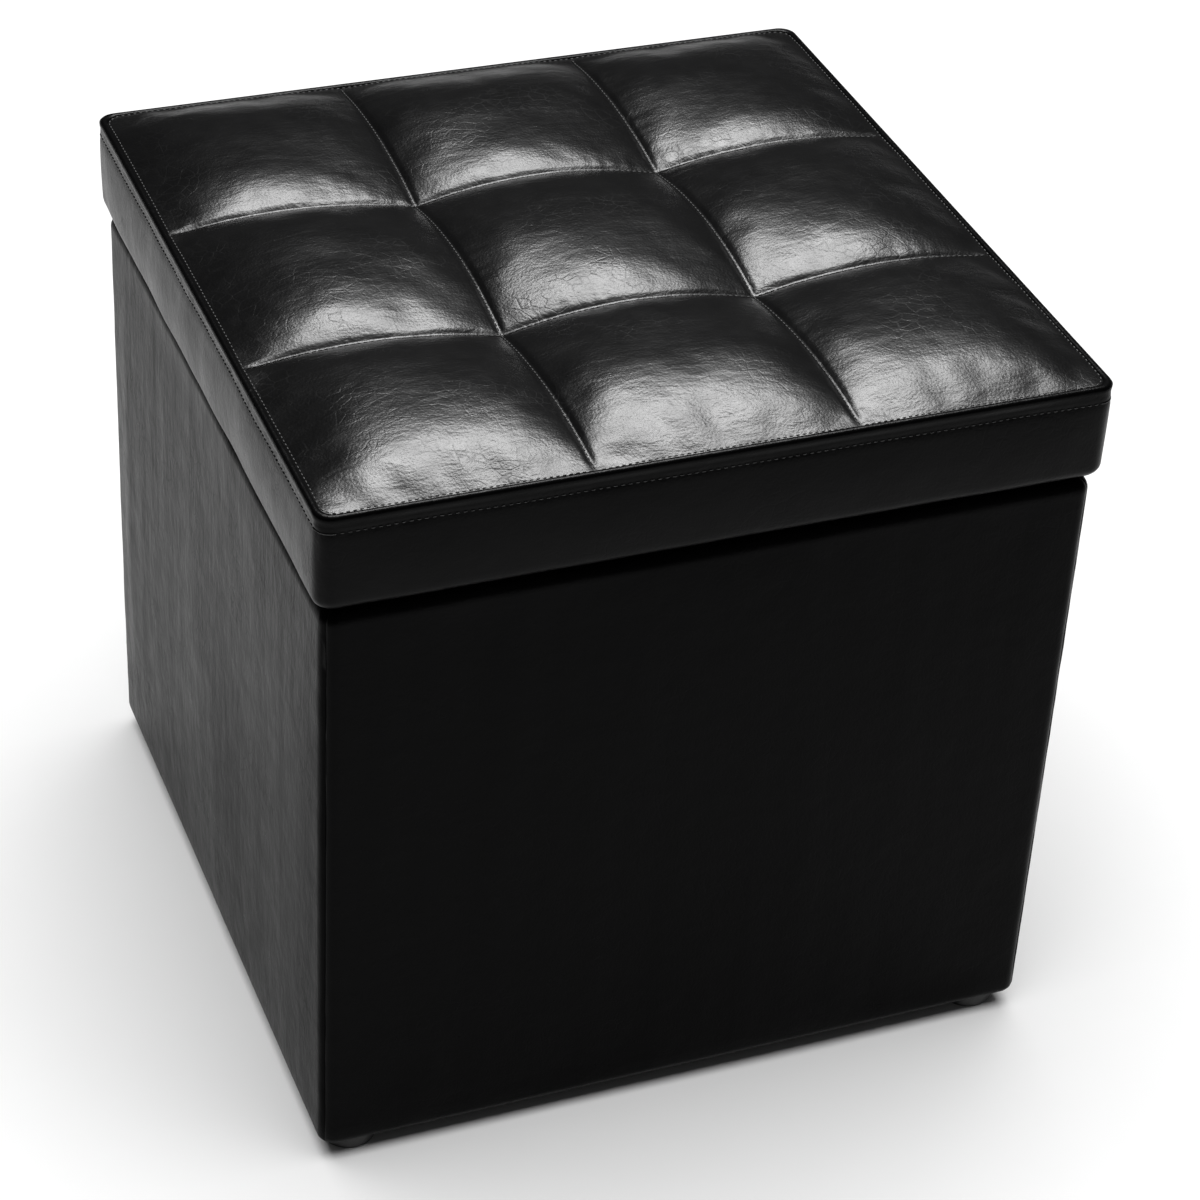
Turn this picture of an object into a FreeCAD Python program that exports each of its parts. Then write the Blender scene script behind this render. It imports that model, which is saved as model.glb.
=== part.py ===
import FreeCAD, Part
import math
import os
import re

import Sketcher
from FreeCAD import Placement, Rotation, Vector

# Cube storage ottoman: an upholstered box on four feet with a hinged, quilted lid.
# Millimetres. +Z is up, -Y is the front, the origin is on the floor under the middle.

doc = FreeCAD.newDocument("StorageOttoman")
sheet = doc.addObject("Spreadsheet::Sheet", "Sizes")
parts = []

SIZES = [
    # the box
    ("body_width", 396, "outside width and depth of the covered box"),
    ("rim_height", 342, "top of the covered rim"),
    ("skin", 1.2, "thickness of the coated cover"),
    ("wall_foam", 2.8, "thin foam between wall and cover"),
    ("wall", 12, "thickness of the wall boards"),
    ("base_board", 9, "thickness of the bottom board"),
    ("dust_sheet", 0.6, "cloth under the base"),
    ("lining", 0.6, "cloth inside the box and under the lid"),
    ("turn_down", 32, "depth of cover folded over the rim"),
    ("lining_top", 318, "top edge of the wall lining"),
    ("hem", 20, "cover folded under the box"),
    ("corner_round", 10, "vertical corner radius of the cover"),
    ("rim_round", 6, "outer rounding of the rim"),
    ("wall_corner", 6, "vertical corner radius of the boards"),
    ("wall_bevel", 2, "bevel along the top of the boards"),
    # feet
    ("foot_height", 10, "height of a foot"),
    ("foot_radius", 15, "widest radius of a foot"),
    ("foot_inset", 22, "foot centre in from the side of the box"),
    # lid
    ("lid_width", 400, "overall width and depth of the lid over its stitching"),
    ("lid_bottom", 346, "underside of the closed lid"),
    ("seam_height", 396.5, "height of the seam between top and side band"),
    ("pillow_rise", 9.5, "height of a pillow over its seams"),
    ("cross_dip", 3, "depth of a tuft below the border seam"),
    ("dip_spread", 24, "radius of the dip round a tuft"),
    ("lid_corner", 12, "vertical corner radius of the lid"),
    ("lid_round", 6, "rounding of the lower lid edge"),
    ("lid_hem", 28, "cover folded under the lid"),
    ("lid_board", 12, "thickness of the lid board"),
    ("wadding", 4.5, "wadding over the foam"),
    ("thread", 0.4, "thickness of the stitching thread"),
    ("lid_lining_half", 176, "half width of the lid lining"),
    ("tuft_pitch", 66.6667, "tufts from the middle, one sixth of the lid"),
    # hinges and stays
    ("axis_y", 196.9, "lid hinge axis, towards the back"),
    ("axis_z", 343.9, "lid hinge axis, height"),
    ("knuckle_radius", 2.4, "outside radius of a hinge knuckle"),
    ("hinge_pin_radius", 1.2, "radius of the hinge pin"),
    ("leaf", 1.2, "thickness of a hinge leaf"),
    ("leaf_width", 16.4, "hinge leaf from axis to edge"),
    ("leaf_length", 50, "length of a hinge"),
    ("hinge_x", 100, "hinge centre from the middle"),
    ("stay_reach", 130, "lid pivot in front of the hinge axis"),
    ("stay_drop", 8, "lid pivot below the hinge axis"),
    ("stay_back", 40, "wall pivot in front of the hinge axis"),
    ("stay_low", 120, "wall pivot below the hinge axis"),
    ("arm", 2, "thickness of a stay arm"),
    ("arm_width", 12, "width of a stay arm"),
    ("bracket", 1.5, "thickness of a stay bracket"),
    ("play", 0.3, "side play between stay pieces"),
    ("rivet_radius", 2, "radius of a stay rivet"),
    ("running_fit", 0.05, "radial play of a turning pin"),
    ("tight_fit", 0.01, "radial play of a fixed pin"),
    ("open_fit", 0.1, "radial play where a stay meets the lid"),
    ("screw_fit", 0.05, "play of a screw in its hole"),
    ("bumper", 3.7, "height of a lid bumper"),
    ("staple_wire", 0.5, "thickness of staple wire"),
]


def fill_sheet():
    """One row for each driving size: its name, its value and what it measures."""
    for row, (alias, value, meaning) in enumerate(SIZES, start=1):
        sheet.set(f"A{row}", alias)
        sheet.set(f"B{row}", str(value))
        sheet.set(f"C{row}", meaning)
        sheet.setAlias(f"B{row}", alias)
    doc.recompute()


fill_sheet()
VALUE = {alias: float(sheet.get(alias)) for alias, _, _ in SIZES}


def formula(text):
    """Turn size names into references to the sheet."""
    return re.sub(r"\b[a-z][a-z_]+\b", lambda word: "Sizes." + word.group(0), str(text))


def bind(item, prop, text):
    item.setExpression(prop, formula(text))


def number(text):
    """The present value of a formula, for placements and starting sketches."""
    names = re.findall(r"\b[a-z][a-z_]+\b", str(text))
    result = str(text)
    for word in sorted(set(names), key=len, reverse=True):
        result = re.sub(rf"\b{word}\b", repr(VALUE[word]), result)
    return float(FreeCAD.Units.Quantity(result).Value)


def finish(item, label):
    """Name a sub-part and list it for export."""
    item.Label = label
    parts.append(item)
    return item


# ---------------------------------------------------------------- building blocks

def block(name, x, y, z, length, width, height, turn=0):
    """A box from its low corner and its sizes."""
    item = doc.addObject("Part::Box", name)
    bind(item, "Length", length)
    bind(item, "Width", width)
    bind(item, "Height", height)
    item.Placement = Placement(Vector(0, 0, 0), Rotation(Vector(0, 0, 1), turn))
    bind(item, "Placement.Base.x", x)
    bind(item, "Placement.Base.y", y)
    bind(item, "Placement.Base.z", z)
    return item


def column(name, half, z_low, z_high):
    """A square box centred on the Z axis."""
    return block(name, f"-({half})", f"-({half})", z_low,
                 f"2 * ({half})", f"2 * ({half})", f"({z_high}) - ({z_low})")


def rod(name, radius, length, x, y, z, axis="z"):
    """A cylinder starting at a point and running along an axis."""
    item = doc.addObject("Part::Cylinder", name)
    bind(item, "Radius", radius)
    bind(item, "Height", length)
    turn = Rotation()
    if axis == "x":
        turn = Rotation(Vector(0, 1, 0), 90)
    if axis == "y":
        turn = Rotation(Vector(1, 0, 0), -90)
    item.Placement = Placement(Vector(0, 0, 0), turn)
    bind(item, "Placement.Base.x", x)
    bind(item, "Placement.Base.y", y)
    bind(item, "Placement.Base.z", z)
    return item


def cut(name, base, *tools):
    """Take one or more tools away from a piece."""
    tool = tools[0] if len(tools) == 1 else fuse(name + "Tools", *tools)
    item = doc.addObject("Part::Cut", name)
    item.Base = base
    item.Tool = tool
    return item


def fuse(name, *pieces):
    item = doc.addObject("Part::MultiFuse", name)
    item.Shapes = list(pieces)
    return item


def common(name, first, second):
    item = doc.addObject("Part::MultiCommon", name)
    item.Shapes = [first, second]
    return item


def rounded(name, base, radius, picks):
    """Fillet the edges of a piece that the test picks."""
    doc.recompute()
    edges = [index for index, edge in enumerate(base.Shape.Edges, start=1) if picks(edge)]
    item = doc.addObject("Part::Fillet", name)
    item.Base = base
    item.Edges = [(index, radius, radius) for index in edges]
    doc.recompute()
    return item


def bevelled(name, base, size, picks):
    """Chamfer the edges of a piece that the test picks."""
    doc.recompute()
    edges = [index for index, edge in enumerate(base.Shape.Edges, start=1) if picks(edge)]
    item = doc.addObject("Part::Chamfer", name)
    item.Base = base
    item.Edges = [(index, size, size) for index in edges]
    doc.recompute()
    return item


def upright(edge):
    box = edge.BoundBox
    return box.ZLength > 1 and box.XLength < 0.01 and box.YLength < 0.01


def level_at(height):
    """A test for edges lying level at one height."""
    def test(edge):
        box = edge.BoundBox
        return box.ZLength < 0.01 and abs(box.ZMin - height) < 0.01
    return test


def sketch_on(body, role, name):
    """An empty sketch on one of a body's own base planes."""
    sketch = body.newObject("Sketcher::SketchObject", name)
    plane = [item for item in body.Origin.OriginFeatures if item.Role == role][0]
    sketch.AttachmentSupport = [(plane, "")]
    sketch.MapMode = "FlatFace"
    return sketch


def outline(sketch, points):
    """A closed outline whose corners are tied to the sheet."""
    spots = [Vector(number(across), number(up), 0) for across, up in points]
    count = len(spots)
    for index in range(count):
        line = Part.LineSegment(spots[index], spots[(index + 1) % count])
        sketch.addGeometry(line, False)
    for index in range(count):
        follower = (index + 1) % count
        sketch.addConstraint(Sketcher.Constraint("Coincident", index, 2, follower, 1))
    for index, (across, up) in enumerate(points):
        for kind, text in (("DistanceX", across), ("DistanceY", up)):
            rule = Sketcher.Constraint(kind, -1, 1, index, 1, number(text))
            place = sketch.addConstraint(rule)
            sketch.setExpression(f"Constraints[{place}]", formula(text))


def turned(name, points):
    """A body of revolution about its Z axis from (radius, height) corners."""
    body = doc.addObject("PartDesign::Body", name)
    sketch = sketch_on(body, "XZ_Plane", name + "Profile")
    outline(sketch, points)
    turn = body.newObject("PartDesign::Revolution", name + "Turn")
    turn.Profile = sketch
    turn.ReferenceAxis = (sketch, ["V_Axis"])
    turn.Angle = 360
    doc.recompute()
    return body


def placed(name, source, spots):
    """A group of equal pieces: the same body at several placements."""
    links = []
    for index, spot in enumerate(spots, start=1):
        link = doc.addObject("App::Link", f"{name}{index}")
        link.LinkedObject = source
        link.Placement = spot
        links.append(link)
    item = doc.addObject("Part::Compound", name)
    item.Links = links
    return item


def aim(x, y, z, direction):
    """Placement that points a piece's +Z axis along a direction."""
    return Placement(Vector(x, y, z), Rotation(Vector(0, 0, 1), Vector(*direction)))


# ---------------------------------------------------------------- levels used often

HALF = "body_width / 2"
INSIDE = "body_width / 2 - skin - wall_foam - wall"
WALL_OUT = "body_width / 2 - skin - wall_foam"
SKIN_BOTTOM = "foot_height + dust_sheet"
BOARD_BOTTOM = "foot_height + dust_sheet + skin"
FLOOR_TOP = "foot_height + dust_sheet + skin + base_board"
BOARD_TOP = "rim_height - skin"
LID_BOARD_BOTTOM = "lid_bottom + skin"
LID_BOARD_TOP = "lid_bottom + skin + lid_board"
LID_HALF = "lid_width / 2 - thread"

inside = number(INSIDE)
wall_out = number(WALL_OUT)
board_bottom = number(BOARD_BOTTOM)
floor_top = number(FLOOR_TOP)
lining_face = inside - VALUE["skin"] - VALUE["lining"]
SIDES = [("front", 225), ("right", 315), ("back", 45), ("left", 135)]


# ---------------------------------------------------------------- fasteners

def screw(name, head, head_depth, shank, length, spare="0"):
    """A countersunk wood screw pointing down; spare widens it into a hole tool."""
    return turned(name, [
        ("0", "0"),
        (f"{head} + {spare}", "0"),
        (f"{shank} + {spare}", f"-({head_depth} + {spare})"),
        (f"{shank} + {spare}", f"-({length} - 3)"),
        ("0", f"-({length} + {spare})"),
    ])


board_screw = screw("BoardScrew", 3.5, 2.6, 1.5, 32)
board_screw_hole = screw("BoardScrewHole", 3.5, 2.6, 1.5, 32, "screw_fit")
small_screw = screw("SmallScrew", 2.5, 1.1, 1.3, 12)
small_screw_hole = screw("SmallScrewHole", 2.5, 1.1, 1.3, 12, "screw_fit")


def corner_screw_spots():
    """Screws through the front and back boards into the side boards and the base."""
    spots = []
    for side in (-1, 1):
        into = (0, side, 0)
        for x in (-1, 1):
            for z in (60, 175, 290):
                spots.append(aim(x * (wall_out - 6), side * wall_out, z, into))
            spots.append(aim(x * 90, side * wall_out, board_bottom + 4.5, into))
            end = (side, 0, 0)
            spots.append(aim(side * wall_out, x * 90, board_bottom + 4.5, end))
    return spots


def hinge_screw_spots(height, direction):
    """Three screws along each of the two hinge leaves."""
    spots = []
    for side in (-1, 1):
        for step in (-18, 0, 18):
            x = side * VALUE["hinge_x"] + step
            spots.append(aim(x, 186, height, direction))
    return spots


axis_y = VALUE["axis_y"]
axis_z = VALUE["axis_z"]
wall_pivot = (axis_y - VALUE["stay_back"], axis_z - VALUE["stay_low"])
lid_pivot = (axis_y - VALUE["stay_reach"], axis_z - VALUE["stay_drop"])
elbow = (wall_pivot[0] + lid_pivot[0] - axis_y, wall_pivot[1] + lid_pivot[1] - axis_z)
bracket_face = lining_face - VALUE["bracket"]
flange_low = VALUE["lid_bottom"] - VALUE["lining"] - VALUE["bracket"]


def wall_screw_spots():
    """Two screws in each wall bracket of the stays, one over the pivot and one under."""
    spots = []
    for side in (-1, 1):
        for up in (-14, 14):
            spot = (side * bracket_face, wall_pivot[0], wall_pivot[1] + up)
            spots.append(aim(*spot, (-side, 0, 0)))
    return spots


def lid_screw_spots():
    """Two screws in each lid bracket of the stays."""
    spots = []
    for side in (-1, 1):
        for along in (-12, 12):
            spots.append(aim(side * 160, lid_pivot[0] + along, flange_low, (0, 0, -1)))
    return spots


def foot_spots():
    reach = number(f"{HALF} - foot_inset")
    return [(x * reach, y * reach) for y in (-1, 1) for x in (-1, 1)]


def foot_screw_spots():
    return [aim(x, y, 3.5, (0, 0, -1)) for x, y in foot_spots()]


leaf_top = VALUE["rim_height"] + VALUE["leaf"]
leaf_bottom = VALUE["lid_bottom"] - VALUE["leaf"]
box_screw_tool = placed("BoxScrewTool", board_screw_hole, corner_screw_spots())
hinge_box_tool = placed("HingeBoxTool", small_screw_hole, hinge_screw_spots(leaf_top, (0, 0, 1)))
hinge_lid_tool = placed("HingeLidTool", small_screw_hole, hinge_screw_spots(leaf_bottom, (0, 0, -1)))
stay_wall_tool = placed("StayWallTool", small_screw_hole, wall_screw_spots())
stay_lid_tool = placed("StayLidTool", small_screw_hole, lid_screw_spots())
foot_screw_tool = placed("FootScrewTool", small_screw_hole, foot_screw_spots())

finish(placed("BoxScrews", board_screw, corner_screw_spots()), "box_screws")
finish(placed("HingeBoxScrews", small_screw, hinge_screw_spots(leaf_top, (0, 0, 1))),
       "hinge_box_screws")
finish(placed("HingeLidScrews", small_screw, hinge_screw_spots(leaf_bottom, (0, 0, -1))),
       "hinge_lid_screws")
finish(placed("StayWallScrews", small_screw, wall_screw_spots()), "stay_wall_screws")
finish(placed("StayLidScrews", small_screw, lid_screw_spots()), "stay_lid_screws")
finish(placed("FootScrews", small_screw, foot_screw_spots()), "foot_screws")


def staple(name, spare="0"):
    """A wire staple, crown at the bottom and legs up; spare widens it into a hole tool."""
    body = doc.addObject("PartDesign::Body", name)
    sketch = sketch_on(body, "XZ_Plane", name + "Profile")
    outline(sketch, [
        (f"-5 - {spare}", f"-staple_wire - {spare}"),
        (f"5 + {spare}", f"-staple_wire - {spare}"),
        (f"5 + {spare}", f"6 + {spare}"),
        (f"5 - staple_wire - {spare}", f"6 + {spare}"),
        (f"5 - staple_wire - {spare}", "0"),
        (f"-5 + staple_wire + {spare}", "0"),
        (f"-5 + staple_wire + {spare}", f"6 + {spare}"),
        (f"-5 - {spare}", f"6 + {spare}"),
    ])
    solid = body.newObject("PartDesign::Pad", name + "Pad")
    solid.Profile = sketch
    bind(solid, "Length", f"staple_wire + 2 * {spare}")
    solid.Midplane = True
    doc.recompute()
    return body


wire_staple = staple("WireStaple")
wire_staple_hole = staple("WireStapleHole", "screw_fit")


def ring_spots(reach, height, steps=(-110, 0, 110)):
    """Staples pointing up, in from each of the four edges."""
    spots = []
    for turn in (0, 90, 180, 270):
        frame = Placement(Vector(0, 0, 0), Rotation(Vector(0, 0, 1), turn))
        for step in steps:
            spots.append(frame.multiply(Placement(Vector(step, -reach, height), Rotation())))
    return spots


def lining_spots():
    """Staples driven outwards through the wall lining near its top edge."""
    spots = []
    for turn in (0, 90, 180, 270):
        frame = Placement(Vector(0, 0, 0), Rotation(Vector(0, 0, 1), turn))
        for step in (-120, -40, 40, 120):
            local = Placement(Vector(step, -lining_face, 314), Rotation(Vector(1, 0, 0), 90))
            spots.append(frame.multiply(local))
    return spots


dust_spots = ring_spots(170, VALUE["foot_height"])
lid_lining_spots = ring_spots(173.5, VALUE["lid_bottom"] - VALUE["lining"], (-130, -40, 40, 130))
dust_tool = placed("DustStapleTool", wire_staple_hole, dust_spots)
lining_tool = placed("LiningStapleTool", wire_staple_hole, lining_spots())
lid_staple_tool = placed("LidStapleTool", wire_staple_hole, lid_lining_spots)
finish(placed("DustStaples", wire_staple, dust_spots), "dust_cover_staples")
finish(placed("LiningStaples", wire_staple, lining_spots()), "lining_staples")
finish(placed("LidStaples", wire_staple, lid_lining_spots), "lid_lining_staples")


# ---------------------------------------------------------------- box boards

wall_block = bevelled(
    "WallBlockBevelled",
    rounded("WallBlockRounded", column("WallBlock", WALL_OUT, BOARD_BOTTOM, BOARD_TOP),
            VALUE["wall_corner"], upright),
    VALUE["wall_bevel"], level_at(number(BOARD_TOP)))

board_plans = [
    ("front", f"-({WALL_OUT})", f"-({WALL_OUT})", f"2 * ({WALL_OUT})", "wall"),
    ("back", f"-({WALL_OUT})", INSIDE, f"2 * ({WALL_OUT})", "wall"),
    ("left", f"-({WALL_OUT})", f"-({INSIDE})", "wall", f"2 * ({INSIDE})"),
    ("right", INSIDE, f"-({INSIDE})", "wall", f"2 * ({INSIDE})"),
]
for side, x, y, length, width in board_plans:
    name = side.capitalize()
    slab = block(name + "Slab", x, y, BOARD_BOTTOM, length, width,
                 f"({BOARD_TOP}) - ({BOARD_BOTTOM})")
    board = common(name + "Board", slab, wall_block)
    tools = [box_screw_tool, lining_tool]
    if side == "back":
        tools.append(hinge_box_tool)
    if side in ("left", "right"):
        tools.append(stay_wall_tool)
    finish(cut(name + "Panel", board, *tools), side + "_panel")

base = column("BaseSlab", INSIDE, BOARD_BOTTOM, FLOOR_TOP)
finish(cut("BottomPanel", base, box_screw_tool, dust_tool, foot_screw_tool), "bottom_panel")


# ---------------------------------------------------------------- wall foam and cover

foam_half = number(f"{HALF} - corner_round")
for side, turn in SIDES:
    name = side.capitalize()
    spin = Rotation(Vector(0, 0, 1), turn - 225)
    start = spin.multVec(Vector(-foam_half, -number(f"{HALF} - skin"), board_bottom))
    sheet_foam = block(name + "FoamSheet", f"{start.x}", f"{start.y}", BOARD_BOTTOM,
                       f"2 * ({HALF} - corner_round)", "wall_foam",
                       f"rim_height - rim_round - ({BOARD_BOTTOM})", turn - 225)
    finish(sheet_foam, side + "_foam")

skin = VALUE["skin"]
outer = rounded("CoverOuterRounded", column("CoverOuter", HALF, SKIN_BOTTOM, "rim_height"),
                VALUE["corner_round"], upright)
outer = rounded("CoverOuterRim", outer, VALUE["rim_round"], level_at(VALUE["rim_height"]))
inner = rounded("CoverInnerRounded",
                column("CoverInner", f"{HALF} - skin", BOARD_BOTTOM, BOARD_TOP),
                VALUE["corner_round"] - skin, upright)
inner = rounded("CoverInnerRim", inner, VALUE["rim_round"] - skin, level_at(number(BOARD_TOP)))
shell = cut("CoverShell", outer, inner)
fold_out = column("FoldOut", INSIDE, "rim_height - turn_down", BOARD_TOP)
fold = cut("Fold", fold_out, column("FoldIn", f"{INSIDE} - skin", "0", "rim_height"))
mouth = column("CoverMouth", f"{INSIDE} - skin", "rim_height - turn_down", "rim_height + 5")
under = column("CoverUnder", f"{HALF} - hem", "0", f"{BOARD_BOTTOM} + 2")
cover = cut("CoverRing", fuse("CoverWithFold", shell, fold), mouth, under)
for side, turn in SIDES:
    name = side.capitalize()
    wedge = block(name + "Wedge", "0", "0", "0", "400", "400", "400", turn)
    panel = common(name + "CoverCut", cover, wedge)
    tools = [lining_tool]
    if side == "back":
        tools.append(hinge_box_tool)
    finish(cut(name + "Cover", panel, *tools), side + "_cover")


# ---------------------------------------------------------------- linings and dust cover

lining_ring = cut("LiningRing",
                  column("LiningOut", f"{INSIDE} - skin", FLOOR_TOP, "lining_top"),
                  column("LiningIn", f"{INSIDE} - skin - lining", "0", "rim_height"))
finish(cut("WallLining", lining_ring, lining_tool, stay_wall_tool), "wall_lining")
finish(column("FloorLining", f"{INSIDE} - skin - lining - 0.2", FLOOR_TOP,
              f"{FLOOR_TOP} + lining"), "floor_lining")
dust = column("DustSheet", f"{HALF} - 8", "foot_height", "foot_height + dust_sheet")
finish(cut("DustCover", dust, dust_tool, foot_screw_tool), "dust_cover")


# ---------------------------------------------------------------- feet and bumpers

foot = turned("FootShape", [
    ("0", "0"),
    ("foot_radius - 2.5", "0"),
    ("foot_radius - 0.7", "0.8"),
    ("foot_radius", "2.6"),
    ("foot_radius", "foot_height - 2"),
    ("foot_radius - 1.5", "foot_height"),
    ("0", "foot_height"),
])
recess = turned("FootRecess", [("0", "-1"), ("3.6", "-1"), ("3.6", "3.45"), ("0", "3.45")])
foot_names = ["front_left_foot", "front_right_foot", "back_left_foot", "back_right_foot"]
for label, (x, y) in zip(foot_names, foot_spots()):
    name = "".join(word.capitalize() for word in label.split("_"))
    stood = placed(name + "Body", foot, [Placement(Vector(x, y, 0), Rotation())])
    hollow = placed(name + "Recess", recess, [Placement(Vector(x, y, 0), Rotation())])
    finish(cut(name, stood, hollow, foot_screw_tool), label)

bumper = turned("BumperShape", [
    ("0", "0"), ("5", "0"), ("5", "bumper - 1"), ("4", "bumper"), ("0", "bumper"),
])
bumper_spots = [Placement(Vector(x, -186, VALUE["rim_height"]), Rotation()) for x in (-150, 150)]
finish(placed("LidBumpers", bumper, bumper_spots), "lid_bumpers")


# ---------------------------------------------------------------- hinges

def hinge_leaf(name, centre, knuckles, gaps, low, hole, screws):
    """A leaf plate with its knuckles: rolled eyes on the pin at the back edge."""
    start = f"{centre} - leaf_length / 2"
    plate = block(name + "Plate", start, "axis_y - leaf_width", low,
                  "leaf_length", "leaf_width", "leaf")
    notches = []
    for index, (begin, end) in enumerate(gaps):
        notches.append(block(f"{name}Notch{index}", f"{start} + {begin}",
                             "axis_y - knuckle_radius - 0.5", "axis_z - 5",
                             f"{end} - {begin}", "10", "10"))
    eyes = []
    for index, (begin, end) in enumerate(knuckles):
        eyes.append(rod(f"{name}Eye{index}", "knuckle_radius", f"{end} - {begin}",
                        f"{start} + {begin}", "axis_y", "axis_z", "x"))
    whole = fuse(name + "Whole", cut(name + "Notched", plate, *notches), *eyes)
    bore = rod(name + "Bore", hole, "leaf_length + 4", f"{start} - 2", "axis_y", "axis_z", "x")
    return cut(name, whole, bore, screws)


for side, centre in (("left", "-hinge_x"), ("right", "hinge_x")):
    name = "Hinge" + side.capitalize()
    fixed = hinge_leaf(name + "BoxLeaf", centre, [(0, 15), (35, 50)], [(14.8, 35.2)],
                       "rim_height", "hinge_pin_radius + tight_fit", hinge_box_tool)
    finish(fixed, f"hinge_{side}_box_leaf")
    moving = hinge_leaf(name + "LidLeaf", centre, [(15.2, 34.8)], [(-1, 15.2), (34.8, 51)],
                        "lid_bottom - leaf", "hinge_pin_radius + running_fit", hinge_lid_tool)
    finish(moving, f"hinge_{side}_lid_leaf")

pins = []
for side, centre in (("Left", "-hinge_x"), ("Right", "hinge_x")):
    pins.append(rod(f"Pin{side}", "hinge_pin_radius", "leaf_length",
                    f"{centre} - leaf_length / 2", "axis_y", "axis_z", "x"))
pin_pair = doc.addObject("Part::Compound", "HingePins")
pin_pair.Links = pins
finish(pin_pair, "hinge_pins")


# ---------------------------------------------------------------- lid stays

def arm_body(name, length, near_hole, far_hole):
    """A flat bar with round ends and a hole at each end, lying along its Y axis."""
    body = doc.addObject("PartDesign::Body", name)
    sketch = sketch_on(body, "YZ_Plane", name + "Profile")
    reach = number(length)
    radius = number("arm_width / 2")
    right = Vector(0, 0, 1)
    sketch.addGeometry(Part.LineSegment(Vector(0, radius, 0), Vector(reach, radius, 0)), False)
    far_end = Part.Circle(Vector(reach, 0, 0), right, radius)
    sketch.addGeometry(Part.ArcOfCircle(far_end, -math.pi / 2, math.pi / 2), False)
    sketch.addGeometry(Part.LineSegment(Vector(reach, -radius, 0), Vector(0, -radius, 0)), False)
    near_end = Part.Circle(Vector(0, 0, 0), right, radius)
    sketch.addGeometry(Part.ArcOfCircle(near_end, math.pi / 2, 3 * math.pi / 2), False)
    sketch.addGeometry(Part.Circle(Vector(0, 0, 0), right, number(near_hole)), False)
    sketch.addGeometry(Part.Circle(Vector(reach, 0, 0), right, number(far_hole)), False)
    for first, first_end, second, second_end in ((0, 2, 1, 2), (1, 1, 2, 1), (2, 2, 3, 2), (3, 1, 0, 1)):
        rule = Sketcher.Constraint("Tangent", first, first_end, second, second_end)
        sketch.addConstraint(rule)
    sketch.addConstraint(Sketcher.Constraint("Coincident", 3, 3, -1, 1))
    sketch.addConstraint(Sketcher.Constraint("Coincident", 4, 3, -1, 1))
    sketch.addConstraint(Sketcher.Constraint("Coincident", 5, 3, 1, 3))
    sketch.addConstraint(Sketcher.Constraint("PointOnObject", 1, 3, -1))
    driven = [("DistanceX", (-1, 1, 1, 3), length), ("Radius", (1,), "arm_width / 2"),
              ("Radius", (4,), near_hole), ("Radius", (5,), far_hole)]
    for kind, what, text in driven:
        place = sketch.addConstraint(Sketcher.Constraint(kind, *what, number(text)))
        sketch.setExpression(f"Constraints[{place}]", formula(text))
    bar = body.newObject("PartDesign::Pad", name + "Pad")
    bar.Profile = sketch
    bind(bar, "Length", "arm")
    doc.recompute()
    return body


def rivet(name, length):
    """A rivet with a flat head at each end, its shank running up from the lower head."""
    return turned(name, [
        ("0", "-1"), ("3", "-1"), ("3.5", "-0.6"), ("3.5", "0"), ("rivet_radius", "0"),
        ("rivet_radius", length), ("3.5", length), ("3.5", f"{length} + 0.6"),
        ("3", f"{length} + 1"), ("0", f"{length} + 1"),
    ])


def stud(name, length):
    """A rivet set flush in its bracket, with one head at its free end."""
    return turned(name, [
        ("0", "0"), ("rivet_radius", "0"), ("rivet_radius", length), ("3.5", length),
        ("3.5", f"{length} + 0.6"), ("3", f"{length} + 1"), ("0", f"{length} + 1"),
    ])


lower_length = "(stay_reach ^ 2 + stay_drop ^ 2) ^ 0.5"
upper_length = "((stay_back) ^ 2 + (stay_low) ^ 2) ^ 0.5"
VALUE["lower_span"] = math.hypot(VALUE["stay_reach"], VALUE["stay_drop"])
VALUE["upper_span"] = math.hypot(VALUE["stay_back"], VALUE["stay_low"])
for row, (alias, text) in enumerate((("lower_span", lower_length), ("upper_span", upper_length)),
                                    start=len(SIZES) + 1):
    sheet.set(f"A{row}", alias)
    sheet.set(f"B{row}", "=" + re.sub(r"Sizes\.", "", text))
    sheet.set(f"C{row}", "pivot to pivot along a stay arm")
    sheet.setAlias(f"B{row}", alias)
doc.recompute()

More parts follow.
